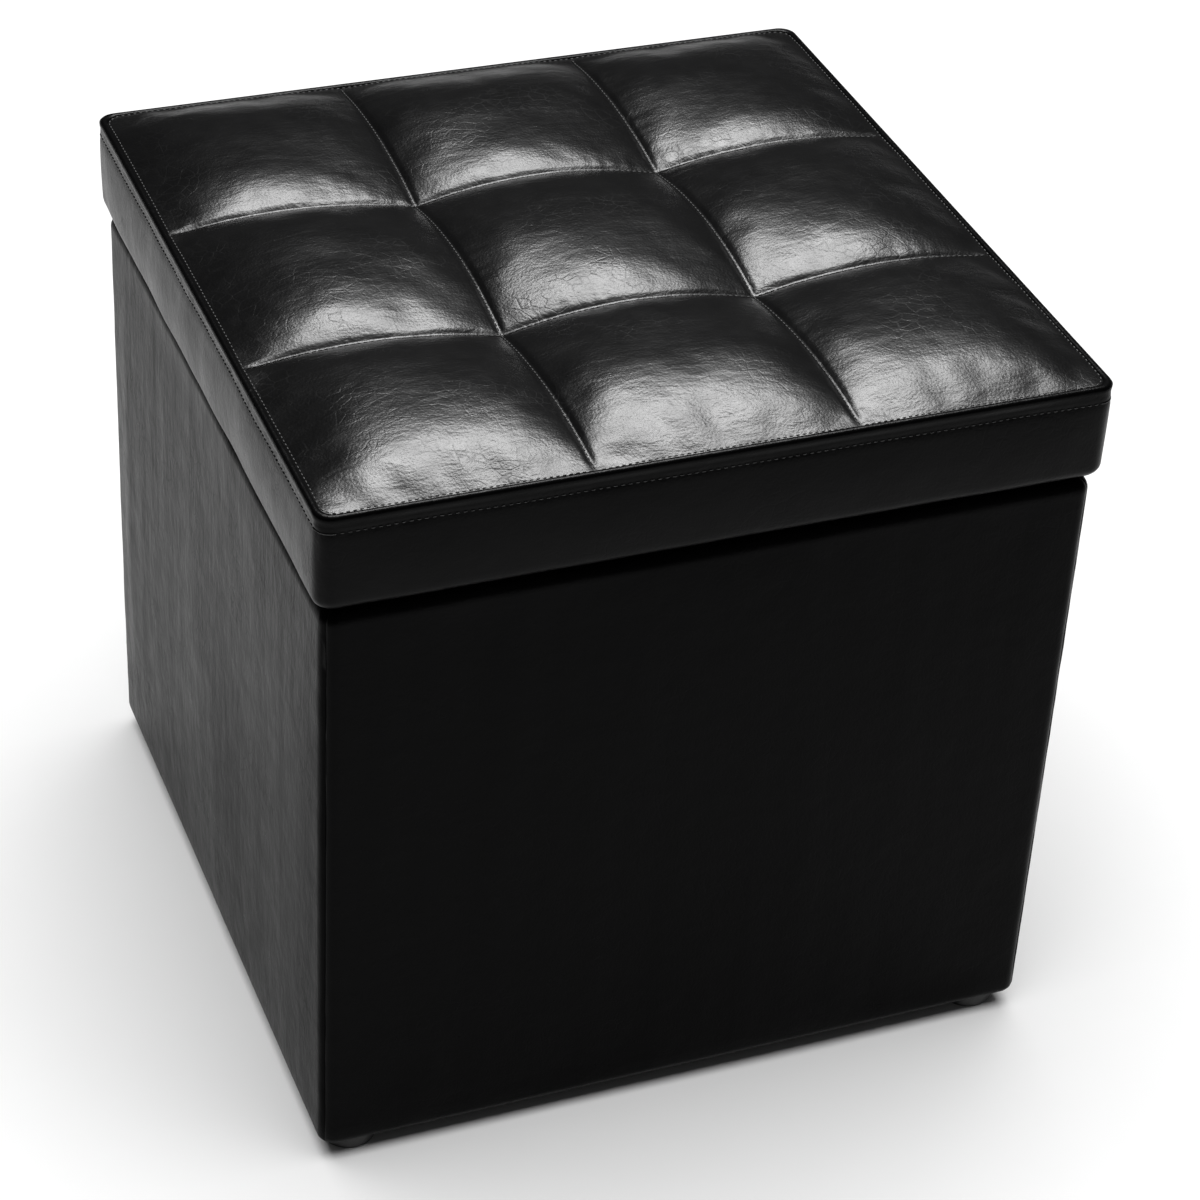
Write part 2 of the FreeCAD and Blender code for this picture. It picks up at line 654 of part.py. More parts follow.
arm = VALUE["arm"]
play = VALUE["play"]
lower_out = bracket_face - play
upper_out = lower_out - arm - play
tab_out = upper_out - arm - play
wall_stud = stud("WallStud", "bracket + arm + 1.6 * play")
elbow_rivet = rivet("ElbowRivet", "2 * arm + 1.6 * play")
lid_rivet = rivet("LidRivet", "bracket + arm + 1.6 * play")
stay_wall_spots = []
stay_lid_spots = []
for side, sign in (("left", -1), ("right", 1)):
    name = "Stay" + side.capitalize()
    # wall bracket: a plate on the lining that carries the lower pivot
    low_x = min(sign * lining_face, sign * bracket_face)
    plate = block(name + "Plate", f"{low_x}", f"{wall_pivot[0] - 9}", f"{wall_pivot[1] - 20}",
                  "bracket", "18", "40")
    bore = rod(name + "PlateBore", "rivet_radius + tight_fit", "10",
               f"{low_x - 4}", f"{wall_pivot[0]}", f"{wall_pivot[1]}", "x")
    finish(cut(name + "WallBracket", plate, bore, stay_wall_tool), f"{side}_stay_wall_bracket")
    stay_wall_spots.append(aim(sign * lining_face, *wall_pivot, (-sign, 0, 0)))
    # lid bracket: an angle with a flange under the lid and a tab down to the upper pivot
    tab_in = tab_out - VALUE["bracket"]
    tab_x = min(sign * tab_out, sign * tab_in)
    flange_x = min(sign * tab_out, sign * 152)
    flange = block(name + "Flange", f"{flange_x}", f"{lid_pivot[0] - 18}", f"{flange_low}",
                   f"{tab_out - 152}", "36", "bracket")
    tab = block(name + "Tab", f"{tab_x}", f"{lid_pivot[0] - 7}", f"{lid_pivot[1] - 6}",
                "bracket", "14", f"{flange_low - lid_pivot[1] + 6 + VALUE['bracket']}")
    bore = rod(name + "TabBore", "rivet_radius + tight_fit", "10",
               f"{tab_x - 4}", f"{lid_pivot[0]}", f"{lid_pivot[1]}", "x")
    angle = fuse(name + "Angle", flange, tab)
    finish(cut(name + "LidBracket", angle, bore, stay_lid_tool), f"{side}_stay_lid_bracket")
    stay_lid_spots.append(aim(sign * tab_in, *lid_pivot, (sign, 0, 0)))
    # arms: the lower from the wall to the elbow, the upper from the elbow to the lid
    lower = arm_body(name + "Lower", "lower_span", "rivet_radius + running_fit",
                     "rivet_radius + tight_fit")
    slope = math.degrees(math.atan2(elbow[1] - wall_pivot[1], elbow[0] - wall_pivot[0]))
    lower_x = min(sign * lower_out, sign * (lower_out - arm))
    lower.Placement = Placement(Vector(lower_x, *wall_pivot), Rotation(Vector(1, 0, 0), slope))
    finish(lower, f"{side}_stay_lower_arm")
    upper = arm_body(name + "Upper", "upper_span", "rivet_radius + running_fit",
                     "rivet_radius + open_fit")
    slope = math.degrees(math.atan2(lid_pivot[1] - elbow[1], lid_pivot[0] - elbow[0]))
    upper_x = min(sign * upper_out, sign * (upper_out - arm))
    upper.Placement = Placement(Vector(upper_x, *elbow), Rotation(Vector(1, 0, 0), slope))
    finish(upper, f"{side}_stay_upper_arm")
    spot = aim(sign * lower_out, *elbow, (-sign, 0, 0))
    finish(placed(name + "Elbow", elbow_rivet, [spot]), f"{side}_stay_elbow_rivet")
finish(placed("StayWallStuds", wall_stud, stay_wall_spots), "stay_wall_rivets")
finish(placed("StayLidRivets", lid_rivet, stay_lid_spots), "stay_lid_rivets")


# ---------------------------------------------------------------- quilted lid

def pillow_wave(distance):
    """0 on a seam line and 1 in the middle of a pillow."""
    pitch = 2 * VALUE["tuft_pitch"]
    local = ((distance + 1.5 * pitch) % pitch) / pitch
    return max(0.0, 1 - (2 * local - 1) ** 2) ** 0.75


def lid_surface(x, y):
    """Height of the quilted top: nine pillows, with the cover pulled down at four tufts."""
    half = VALUE["lid_width"] / 2
    rise = 0
    if abs(x) < half and abs(y) < half:
        rise = VALUE["pillow_rise"] * pillow_wave(x) * pillow_wave(y)
    dip = 0
    for sign_x in (-1, 1):
        for sign_y in (-1, 1):
            away = math.hypot(x - sign_x * VALUE["tuft_pitch"], y - sign_y * VALUE["tuft_pitch"])
            dip += VALUE["cross_dip"] * math.exp(-((away / VALUE["dip_spread"]) ** 2))
    return VALUE["seam_height"] + rise - dip


def quilted_solid(name, drop, depth):
    """The quilted surface lowered by drop and carried down by depth."""
    step = VALUE["tuft_pitch"] / 8
    reach = 25
    rows = []
    for row in range(-reach, reach + 1):
        line = [(column_index * step, row * step) for column_index in range(-reach, reach + 1)]
        rows.append([Vector(x, y, lid_surface(x, y) - drop) for x, y in line])
    surface = Part.BSplineSurface()
    surface.interpolate(rows)
    item = doc.addObject("Part::Feature", name)
    item.Shape = surface.toShape().extrude(Vector(0, 0, -depth))
    return item


LID_INNER = "lid_width / 2 - thread - skin"
FOAM_HALF = "lid_width / 2 - thread - skin - wadding"
lid_corner = VALUE["lid_corner"]
lid_round = VALUE["lid_round"]
trim = rounded("LidTrim", column("LidTrimBox", LID_HALF, "seam_height - 14", "430"),
               lid_corner, upright)
top_skin = quilted_solid("QuiltedSkin", 0, skin)
finish(common("TopCover", top_skin, trim), "top_cover")

outline_box = rounded("BandOutRounded", column("BandOut", LID_HALF, "lid_bottom",
                                               "seam_height - skin - 0.1"), lid_corner, upright)
outline_box = rounded("BandOutEdge", outline_box, lid_round, level_at(VALUE["lid_bottom"]))
hollow = rounded("BandInRounded", column("BandIn", LID_INNER, LID_BOARD_BOTTOM, "430"),
                 lid_corner - skin, upright)
hollow = rounded("BandInEdge", hollow, lid_round - skin, level_at(number(LID_BOARD_BOTTOM)))
opening = column("BandOpening", f"{LID_HALF} - lid_hem", "lid_bottom - 5", "lid_bottom + 5")
band = cut("Band", outline_box, hollow, opening)
finish(cut("SideBand", band, hinge_lid_tool, lid_staple_tool), "side_band")

tuft_drill = [rod(f"TuftDrill{index}", "1.5", "100",
                  f"{x} * tuft_pitch", f"{y} * tuft_pitch", "lid_bottom - 10")
              for index, (x, y) in enumerate(((-1, -1), (1, -1), (-1, 1), (1, 1)))]
drills = fuse("TuftDrills", *tuft_drill)

gap = 0.05
wadding_trim = rounded("WaddingTrim", column("WaddingTrimBox", f"{LID_INNER} - {gap}",
                                             LID_BOARD_BOTTOM, "430"), lid_corner - skin, upright)
wadding_trim = rounded("WaddingTrimEdge", wadding_trim, lid_round - skin,
                       level_at(number(LID_BOARD_BOTTOM)))
wadding_block = common("WaddingBlock", quilted_solid("WaddingTop", skin + gap, 70), wadding_trim)
foam_trim = rounded("FoamTrim", column("FoamTrimBox", FOAM_HALF, LID_BOARD_BOTTOM, "430"),
                    8, upright)
foam_drop = skin + gap + VALUE["wadding"]
foam_hollow = common("FoamHollow", quilted_solid("FoamHollowTop", foam_drop, 70), foam_trim)
finish(cut("LidWadding", wadding_block, foam_hollow, drills), "lid_wadding")
foam_block_trim = rounded("FoamBlockTrim", column("FoamBlockBox", f"{FOAM_HALF} - {gap}",
                                                  LID_BOARD_TOP, "430"), 8, upright)
foam_block = common("FoamBlock", quilted_solid("FoamTop", foam_drop + gap, 70), foam_block_trim)
finish(cut("LidFoam", foam_block, drills), "lid_foam")

plate = rounded("LidBoardRounded", column("LidBoardBox", f"{FOAM_HALF} - {gap}", LID_BOARD_BOTTOM,
                                          LID_BOARD_TOP), 8, upright)
finish(cut("LidBoard", plate, drills, hinge_lid_tool, stay_lid_tool, lid_staple_tool), "lid_board")

lid_cloth = column("LidLiningSheet", "lid_lining_half", "lid_bottom - lining", "lid_bottom")
finish(cut("LidLining", lid_cloth, lid_staple_tool, stay_lid_tool), "lid_lining")

# four tufting twines, each knotted on a washer under the lid board
twines = []
washers = []
for index, (x, y) in enumerate(((-1, -1), (1, -1), (-1, 1), (1, 1))):
    twines.append(rod(f"Twine{index}", "0.8", "seam_height - cross_dip - skin - 0.1 - lid_bottom",
                      f"{x} * tuft_pitch", f"{y} * tuft_pitch", "lid_bottom"))
    disc = rod(f"Disc{index}", "7", "skin", f"{x} * tuft_pitch", f"{y} * tuft_pitch", "lid_bottom")
    eye = rod(f"DiscEye{index}", "0.8 + screw_fit", "10",
              f"{x} * tuft_pitch", f"{y} * tuft_pitch", "lid_bottom - 5")
    washers.append(cut(f"Washer{index}", disc, eye))
for label, name, pieces in (("tuft_twines", "TuftTwines", twines),
                            ("tuft_washers", "TuftWashers", washers)):
    group = doc.addObject("Part::Compound", name)
    group.Links = pieces
    finish(group, label)

# two rows of topstitching round the band under the border seam
ring_out = rounded("ThreadOutside", column("ThreadOutBox", "lid_width / 2", "370", "400"),
                   lid_corner + VALUE["thread"], upright)
ring_in = rounded("ThreadInside", column("ThreadInBox", LID_HALF, "370", "400"),
                  lid_corner, upright)
thread_ring = cut("ThreadRing", ring_out, ring_in)
rows = []
for index, below in enumerate((2, 8)):
    low = f"seam_height - skin - {below} - thread"
    slab = column(f"ThreadSlab{index}", "lid_width", low, f"{low} + thread")
    rows.append(common(f"ThreadRow{index}", thread_ring, slab))
thread_rows = doc.addObject("Part::Compound", "ThreadRows")
thread_rows.Links = rows
finish(thread_rows, "topstitching")


# ---------------------------------------------------------------- checks and export

doc.recompute()
problems = []
for item in doc.Objects:
    if "Invalid" in item.State or "Error" in item.State:
        problems.append(f"{item.Name}: {item.State}")
for item in parts:
    shape = item.Shape
    if shape.isNull() or not shape.isValid() or not shape.Solids:
        problems.append(f"{item.Label}: no valid solid")
if problems:
    raise RuntimeError("; ".join(problems))

os.makedirs("parts", exist_ok=True)
for item in parts:
    item.Shape.exportStep(f"parts/{item.Label}.step")
    box = item.Shape.BoundBox
    print(f"{item.Label}: {len(item.Shape.Solids)} solid(s), {item.Shape.Volume:.0f} mm3, "
          f"z {box.ZMin:.1f} to {box.ZMax:.1f}")
print(f"{len(parts)} nodes")
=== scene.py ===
import math

import bpy
from bpy.props import FloatProperty, FloatVectorProperty, IntProperty, PointerProperty
from mathutils import Matrix, Vector, noise


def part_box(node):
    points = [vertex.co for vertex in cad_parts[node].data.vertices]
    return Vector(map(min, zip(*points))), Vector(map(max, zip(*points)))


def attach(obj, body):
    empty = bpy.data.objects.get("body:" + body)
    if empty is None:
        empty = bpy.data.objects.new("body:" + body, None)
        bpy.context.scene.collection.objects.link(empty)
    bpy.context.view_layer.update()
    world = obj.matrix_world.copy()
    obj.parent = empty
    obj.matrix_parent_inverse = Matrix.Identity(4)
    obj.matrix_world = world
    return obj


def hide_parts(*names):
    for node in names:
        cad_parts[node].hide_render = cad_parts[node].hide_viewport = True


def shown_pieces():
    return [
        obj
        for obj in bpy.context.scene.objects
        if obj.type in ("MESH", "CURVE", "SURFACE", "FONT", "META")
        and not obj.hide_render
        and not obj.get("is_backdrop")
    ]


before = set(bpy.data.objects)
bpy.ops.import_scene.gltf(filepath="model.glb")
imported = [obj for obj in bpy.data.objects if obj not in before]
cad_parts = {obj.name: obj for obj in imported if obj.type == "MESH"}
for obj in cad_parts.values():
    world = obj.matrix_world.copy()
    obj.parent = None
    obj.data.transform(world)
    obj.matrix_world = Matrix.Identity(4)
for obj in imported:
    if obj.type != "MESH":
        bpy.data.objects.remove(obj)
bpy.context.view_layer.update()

bl_info = {
    "name": "Quilted storage ottoman",
    "version": (1, 0, 0),
    "blender": (4, 5, 0),
    "location": "3D View > Sidebar > Ottoman",
    "description": "Leather, stitching, linings and studio for a cube storage ottoman",
    "category": "Object",
}

MM = 0.001
LID_LOW, LID_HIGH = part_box("side_band")
BOX_LOW, BOX_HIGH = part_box("left_cover")
BOARD_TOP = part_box("lid_board")[1].z
LINING_LOW, LINING_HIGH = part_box("wall_lining")
FLOOR_CLOTH_LOW, FLOOR_CLOTH_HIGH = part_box("floor_lining")
LID_CLOTH_LOW, LID_CLOTH_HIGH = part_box("lid_lining")
DUST_LOW, DUST_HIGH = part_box("dust_cover")

LID_HALF = LID_HIGH.x
BOX_HALF = BOX_HIGH.y  # at the mitred end of the left cover, just inside its face
SEAM_Z = 396.5 * MM  # height of the border seam
TUFT = 400 * MM / 6  # half the width of a pillow
CELLS = 24           # grid cells in half a pillow
SEAM_INSET = 1.0 * MM     # the cushion's edge in from the side of the band
BAND_ROW_DROP = 7.2 * MM  # lower row of stitches below the border seam
CUSHION_CORNER = 11 * MM
BAND_CORNER = 7 * MM
COVER_CORNER = 6 * MM
SOFTBOX_TARGET = (0.0, 0.0, 0.4)
CAMERA_PLACE = (-0.57389, -1.42447, 1.26777)
CAMERA_RIGHT = (0.93412, -0.35382, 0.04719)
CAMERA_UP = (0.16907, 0.55501, 0.81448)
CAMERA_AHEAD = (0.31437, 0.75285, -0.57827)
CAMERA_LENS = 104.8


# ------------------------------------------------------------------ settings

class LidSettings(bpy.types.PropertyGroup):
    pillow_rise: FloatProperty(name="Pillow rise", default=12.5 * MM, unit="LENGTH",
                               description="Crown of a pillow over the border seam")
    seam_arch: FloatProperty(name="Seam arch", default=8.5 * MM, unit="LENGTH",
                             description="How far a quilting seam rises between two tufts")
    tuft_dip: FloatProperty(name="Tuft dip", default=2.5 * MM, unit="LENGTH",
                            description="How far a tuft is pulled below the border seam")
    slack: FloatProperty(name="Leather slack", default=0.01, min=0.0, max=0.1,
                         description="Extra leather sewn into each pillow")
    stitch_pitch: FloatProperty(name="Stitch pitch", default=3.2 * MM, unit="LENGTH",
                                description="Distance from one stitch to the next")


class CoverSettings(bpy.types.PropertyGroup):
    leather: FloatProperty(name="Leather thickness", default=1.2 * MM, unit="LENGTH",
                           description="Thickness of the coated cover")
    belly: FloatProperty(name="Belly", default=1.2 * MM, unit="LENGTH",
                         description="How far the padded sides swell in the middle")


class ColourSettings(bpy.types.PropertyGroup):
    leather: FloatVectorProperty(name="Leather", subtype="COLOR", default=(0.0012, 0.0012, 0.0013),
                                 description="Colour of the leather finish")
    thread: FloatVectorProperty(name="Thread", subtype="COLOR", default=(0.05, 0.05, 0.05),
                                description="Colour of the stitching")
    cloth: FloatVectorProperty(name="Lining", subtype="COLOR", default=(0.02, 0.02, 0.021),
                               description="Colour of the lining cloth")


class StudioSettings(bpy.types.PropertyGroup):
    floor: FloatVectorProperty(name="Floor", subtype="COLOR", default=(0.9, 0.9, 0.9),
                               description="Colour of the studio floor")
    key: FloatProperty(name="Overhead light", default=72.0, min=0.0,
                       description="Power of the overhead softbox in watts")
    floor_light: FloatProperty(name="Floor light", default=330.0, min=0.0,
                               description="Power of the light over the floor in watts")
    fill: FloatProperty(name="Room light", default=0.06, min=0.0,
                        description="Brightness of the room around the object")


# ------------------------------------------------------------------ shader maths

class Value:
    """A shader socket that takes part in Python sums."""

    def __init__(self, finish, socket):
        self.finish = finish
        self.socket = socket

    def math(self, operation, *others):
        return self.finish.node("ShaderNodeMath", {"operation": operation}, [self, *others])

    def __add__(self, other):
        return self.math("ADD", other)

    def __sub__(self, other):
        return self.math("SUBTRACT", other)

    def __mul__(self, other):
        return self.math("MULTIPLY", other)

    def __rsub__(self, other):
        return self.finish.node("ShaderNodeMath", {"operation": "SUBTRACT"}, [other, self])

    __radd__ = __add__
    __rmul__ = __mul__


class Finish:
    """A procedural material built round one Principled shader."""

    def __init__(self, name):
        self.material = bpy.data.materials.new(name)
        self.material.use_nodes = True
        self.nodes = self.material.node_tree.nodes
        self.links = self.material.node_tree.links
        self.shader = self.nodes["Principled BSDF"]
        place = self.nodes.new("ShaderNodeTexCoord")
        self.place = Value(self, place.outputs["Object"])

    def node(self, kind, settings, inputs, output=0):
        """Any other node: its settings first, then its sockets by index or name."""
        made = self.nodes.new(kind)
        for name, setting in settings.items():
            setattr(made, name, setting)
        pairs = inputs.items() if isinstance(inputs, dict) else enumerate(inputs)
        for key, value in pairs:
            if isinstance(value, Value):
                self.links.new(value.socket, made.inputs[key])
            else:
                made.inputs[key].default_value = value
        return Value(self, made.outputs[output])

    def noise(self, scale, detail=3.0, roughness=0.5, distortion=0.0, where=None):
        return self.node("ShaderNodeTexNoise", {},
                         {"Vector": where or self.place, "Scale": scale, "Detail": detail,
                          "Roughness": roughness, "Distortion": distortion})

    def cells(self, scale, feature="F1", where=None):
        return self.node("ShaderNodeTexVoronoi", {"feature": feature},
                         {"Vector": where or self.place, "Scale": scale}, "Distance")

    def ramp(self, value, low, high):
        """0 at low, 1 at high, smooth between."""
        return self.node("ShaderNodeMapRange", {"interpolation_type": "SMOOTHSTEP"},
                         {"Value": value, "From Min": low, "From Max": high})

    def stretched(self, scale, turn=(0.0, 0.0, 0.0)):
        return self.node("ShaderNodeMapping", {}, {"Vector": self.place, "Rotation": turn,
                                                   "Scale": scale})

    def warped(self, where, scale, amount):
        """Coordinates pushed about by a slow noise."""
        push = self.node("ShaderNodeTexNoise", {}, {"Vector": where, "Scale": scale,
                                                    "Detail": 2.0}, "Color")
        push = self.node("ShaderNodeVectorMath", {"operation": "SUBTRACT"},
                         [push, (0.5, 0.5, 0.5)])
        push = self.node("ShaderNodeVectorMath", {"operation": "SCALE"},
                         {0: push, "Scale": amount})
        return self.node("ShaderNodeVectorMath", {"operation": "ADD"}, [where, push])

    def blend(self, factor, first, second):
        made = self.nodes.new("ShaderNodeMix")
        made.data_type = "RGBA"
        sockets = {"Factor": made.inputs[0], "A": made.inputs[6], "B": made.inputs[7]}
        for key, value in (("Factor", factor), ("A", first), ("B", second)):
            if isinstance(value, Value):
                self.links.new(value.socket, sockets[key])
            else:
                sockets[key].default_value = value
        return Value(self, made.outputs[2])

    def bump(self, height, depth, strength=1.0, under=None):
        inputs = {"Height": height, "Distance": depth, "Strength": strength}
        if under:
            inputs["Normal"] = under
        return self.node("ShaderNodeBump", {}, inputs)

    def set(self, **sockets):
        """Constants and links on the shader's own sockets."""
        for name, value in sockets.items():
            socket = self.shader.inputs[name.replace("_", " ")]
            if isinstance(value, Value):
                self.links.new(value.socket, socket)
            else:
                socket.default_value = value
        return self


def shade(colour, factor):
    return tuple(part * factor for part in colour[:3]) + (1.0,)


FINISHES = {}


def leather_finish(name, creases=1.0, grain_depth=0.00009, sheen_lines=0.0, gloss=0.05,
                   rough=0.23):
    """Black coated leather: pebbled grain, fine crease lines and a soft gloss."""
    colour = bpy.context.scene.ottoman_colours.leather
    make = Finish(name)
    bent = make.warped(make.place, 35.0, 0.012)
    fine = make.warped(make.place, 500.0, 0.0008)
    pebbles = make.cells(780.0, "SMOOTH_F1", fine)
    hair = make.noise(1500.0, 2.0, 0.6, 0.3)
    grain = pebbles * 0.75 + hair * 0.45
    folds = make.cells(150.0, "DISTANCE_TO_EDGE", bent)
    fold_lines = 1 - make.ramp(folds, 0.0, 0.09)
    patches = make.ramp(make.noise(26.0, 3.0, 0.6), 0.48, 0.66)
    lines = fold_lines * patches
    long_creases = make.noise(1.0, 5.0, 0.62, 0.4,
                              make.stretched((55.0, 150.0, 80.0), (0.0, 0.0, 0.35)))
    swell = make.noise(38.0, 2.0, 0.5)
    bumped = make.bump(swell, 0.0007 * creases, 1.0)
    bumped = make.bump(long_creases, 0.0003 * creases, 1.0, bumped)
    bumped = make.bump(1 - lines, 0.00005 * creases, 1.0, bumped)
    if sheen_lines:
        streaks = make.noise(1.0, 4.0, 0.6, 0.2, make.stretched((48.0, 48.0, 9.0)))
        bumped = make.bump(streaks, sheen_lines, 1.0, bumped)
    bumped = make.bump(grain, grain_depth, 1.0, bumped)
    cloud = make.noise(18.0, 4.0, 0.6)
    wear = lines * 0.5 + cloud * 0.5
    # gloss is set per copy of this leather: lower on the front, back and sides as painted shade,
    # higher on the cushion as painted highlight
    make.set(Base_Color=make.blend(wear, shade(colour, 0.75), shade(colour, 1.7)),
             Roughness=make.noise(60.0, 4.0, 0.6) * 0.14 + lines * 0.06 + rough,
             Specular_IOR_Level=gloss, Normal=bumped)
    FINISHES[name] = make.material
    return make.material


def simple_finish(name, colour, rough, metal=0.0, grain=400.0, depth=0.0001, vary=0.25,
                  specular=0.5, stretch=None):
    """A finish with a fine grain, uneven colour and uneven gloss."""
    make = Finish(name)
    where = make.stretched(stretch) if stretch else make.place
    fine = make.noise(grain, 4.0, 0.6, 0.0, where)
    broad = make.noise(22.0, 3.0, 0.6)
    mix = fine * 0.6 + broad * 0.4
    make.set(Base_Color=make.blend(mix, shade(colour, 1 - vary), shade(colour, 1 + vary)),
             Roughness=fine * 0.16 + (rough - 0.08), Metallic=metal,
             Specular_IOR_Level=specular, Normal=make.bump(fine, depth))
    FINISHES[name] = make.material
    return make.material


def cloth_finish(name, colour):
    """Bonded cloth: short crossing fibres and small pressed dots."""
    make = Finish(name)
    fibres = make.noise(1.0, 3.0, 0.7, 0.0, make.stretched((300.0, 1800.0, 900.0), (0, 0, 0.6)))
    across = make.noise(1.0, 3.0, 0.7, 0.0, make.stretched((1800.0, 300.0, 900.0), (0, 0, 0.3)))
    dots = make.ramp(make.cells(700.0), 0.15, 0.4)
    weave = fibres * 0.4 + across * 0.4 + dots * 0.3
    make.set(Base_Color=make.blend(weave, shade(colour, 0.55), shade(colour, 1.7)),
             Roughness=weave * 0.1 + 0.82, Specular_IOR_Level=0.2,
             Normal=make.bump(weave, 0.00018))
    FINISHES[name] = make.material
    return make.material


# ------------------------------------------------------------------ modelling helpers

def clear_selection():
    if bpy.context.object and bpy.context.object.mode != "OBJECT":
        bpy.ops.object.mode_set(mode="OBJECT")
    bpy.ops.object.select_all(action="DESELECT")


def take(name):
    """Name the piece just added and leave it as the only one selected."""
    piece = bpy.context.object
    piece.name = name
    piece.data.name = name
    return piece


def settle(piece):
    """Put a piece's place into its mesh."""
    clear_selection()
    piece.select_set(True)
    bpy.context.view_layer.objects.active = piece
    bpy.ops.object.transform_apply(location=True, rotation=True, scale=True)


def apply_modifier(piece, kind, **settings):
    modifier = piece.modifiers.new(kind.title(), kind)
    for key, value in settings.items():
        setattr(modifier, key, value)
    clear_selection()
    piece.select_set(True)
    bpy.context.view_layer.objects.active = piece
    bpy.ops.object.modifier_apply(modifier=modifier.name)


def dress(piece, finish, body):
    """Give a piece its finish and the body it rides on."""
    piece.data.materials.clear()
    piece.data.materials.append(FINISHES[finish])
    clear_selection()
    piece.select_set(True)
    bpy.context.view_layer.objects.active = piece
    bpy.ops.object.shade_smooth()
    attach(piece, body)
    return piece


def outward(piece):
    """Merge doubles and turn all faces outwards."""
    clear_selection()
    bpy.context.view_layer.objects.active = piece
    piece.select_set(True)
    bpy.ops.object.mode_set(mode="EDIT")
    bpy.ops.mesh.select_all(action="SELECT")
    bpy.ops.mesh.remove_doubles(threshold=1e-6)
    bpy.ops.mesh.normals_make_consistent(inside=False)
    bpy.ops.object.mode_set(mode="OBJECT")


def thicken(piece, thickness, offset=-1.0):
    apply_modifier(piece, "SOLIDIFY", thickness=thickness, offset=offset, use_even_offset=True)


def square_ring(name, half, corner, height, cuts, corner_segments):
    """A rounded square loop of edges, ready to be drawn up into a wall."""
    clear_selection()
    bpy.ops.mesh.primitive_plane_add(size=2 * half, location=(0, 0, height))
    piece = take(name)
    bpy.ops.object.transform_apply(location=True, rotation=True, scale=True)
    bpy.ops.object.mode_set(mode="EDIT")
    bpy.ops.mesh.select_all(action="SELECT")
    bpy.ops.mesh.bevel(offset=corner, segments=corner_segments, affect="VERTICES")
    bpy.ops.mesh.delete(type="ONLY_FACE")
    bpy.ops.object.mode_set(mode="OBJECT")
    for edge in piece.data.edges:
        ends = [piece.data.vertices[index].co for index in edge.vertices]
        edge.select = (ends[0] - ends[1]).length > half
    for vertex in piece.data.vertices:
        vertex.select = False
    bpy.ops.object.mode_set(mode="EDIT")
    bpy.ops.mesh.select_mode(type="EDGE")
    bpy.ops.mesh.subdivide(number_cuts=cuts)
    bpy.ops.mesh.select_all(action="SELECT")
    return piece


def draw_wall(half, profile):
    """Extrude the selected loop along a profile of (outward, height) steps."""
    out, height = profile[0]
    for next_out, next_height in profile[1:]:
        bpy.ops.mesh.extrude_region_move(
            TRANSFORM_OT_translate={"value": (0, 0, next_height - height)})
        factor = (half + next_out) / (half + out)
        bpy.ops.transform.resize(value=(factor, factor, 1), center_override=(0, 0, 0))
        out, height = next_out, next_height
    bpy.ops.object.mode_set(mode="OBJECT")


def arc(centre, radius, start, end, steps):
    """Profile points round a quarter circle; angles in degrees."""
    points = []
    for step in range(steps + 1):
        angle = math.radians(start + (end - start) * step / steps)
        points.append((centre[0] + radius * math.cos(angle), centre[1] + radius * math.sin(angle)))
    return points


def run(start, end, steps):
    """Profile points along a straight line, without its first point."""
    return [(start[0] + (end[0] - start[0]) * step / steps,
             start[1] + (end[1] - start[1]) * step / steps) for step in range(1, steps + 1)]


def side_and_run(point):
    """Which side a point is nearest, how far along it, and the outward direction."""
    x, y = point.x, point.y
    if abs(x) > abs(y):
        return ("right" if x > 0 else "left"), y, Vector((math.copysign(1, x), 0, 0))
    return ("back" if y > 0 else "front"), x, Vector((0, math.copysign(1, y), 0))


def corner_distance(point):
    """Distance from the nearest corner diagonal, along the wall."""
    return abs(abs(point.x) - abs(point.y))


# ------------------------------------------------------------------ quilted cushion

def seam_height(along, settings):
    """Height of a quilting seam: high at the border, low at tufts, arched between."""
    t = abs(along)
    if t < TUFT:
        lift = settings.seam_arch * (1 - (t / TUFT) ** 2)
        return SEAM_Z - settings.tuft_dip + lift
    reach = (t - TUFT) / (LID_HALF - TUFT)
    lift = 4 * settings.seam_arch * 0.75 * reach * (1 - reach)
    return SEAM_Z - settings.tuft_dip * (1 - reach) ** 1.5 + lift


def edge_height(across, along, settings):
    """Height of the seams either side of a point, blended across the pillow."""
    sew_line = seam_height(along, settings)
    outside = min(1.0, max(0.0, (abs(across) - TUFT) / (LID_HALF - TUFT)))
    return sew_line + (SEAM_Z - sew_line) * outside


def blend_edges(x, y, along_x, along_y):
    """Mean of the two seam heights, each weighted by how near its seams are."""
    near_x = 1.02 - wave(x)
    near_y = 1.02 - wave(y)
    return (along_x * near_x + along_y * near_y) / (near_x + near_y)


def wave(distance):
    pitch = 2 * TUFT
    local = ((distance + 1.5 * pitch) % pitch) / pitch
    return max(0.0, 1 - (2 * local - 1) ** 2)


def round_corner(x, y, half, radius):
    """Carry the square's corner cell on to a quarter circle."""
    u = (abs(x) - (half - radius)) / radius
    v = (abs(y) - (half - radius)) / radius
    if u <= 0 or v <= 0:
        return x, y
    new_x = (half - radius) + radius * u * math.sqrt(1 - v * v / 2)
    new_y = (half - radius) + radius * v * math.sqrt(1 - u * u / 2)
    return math.copysign(new_x, x), math.copysign(new_y, y)


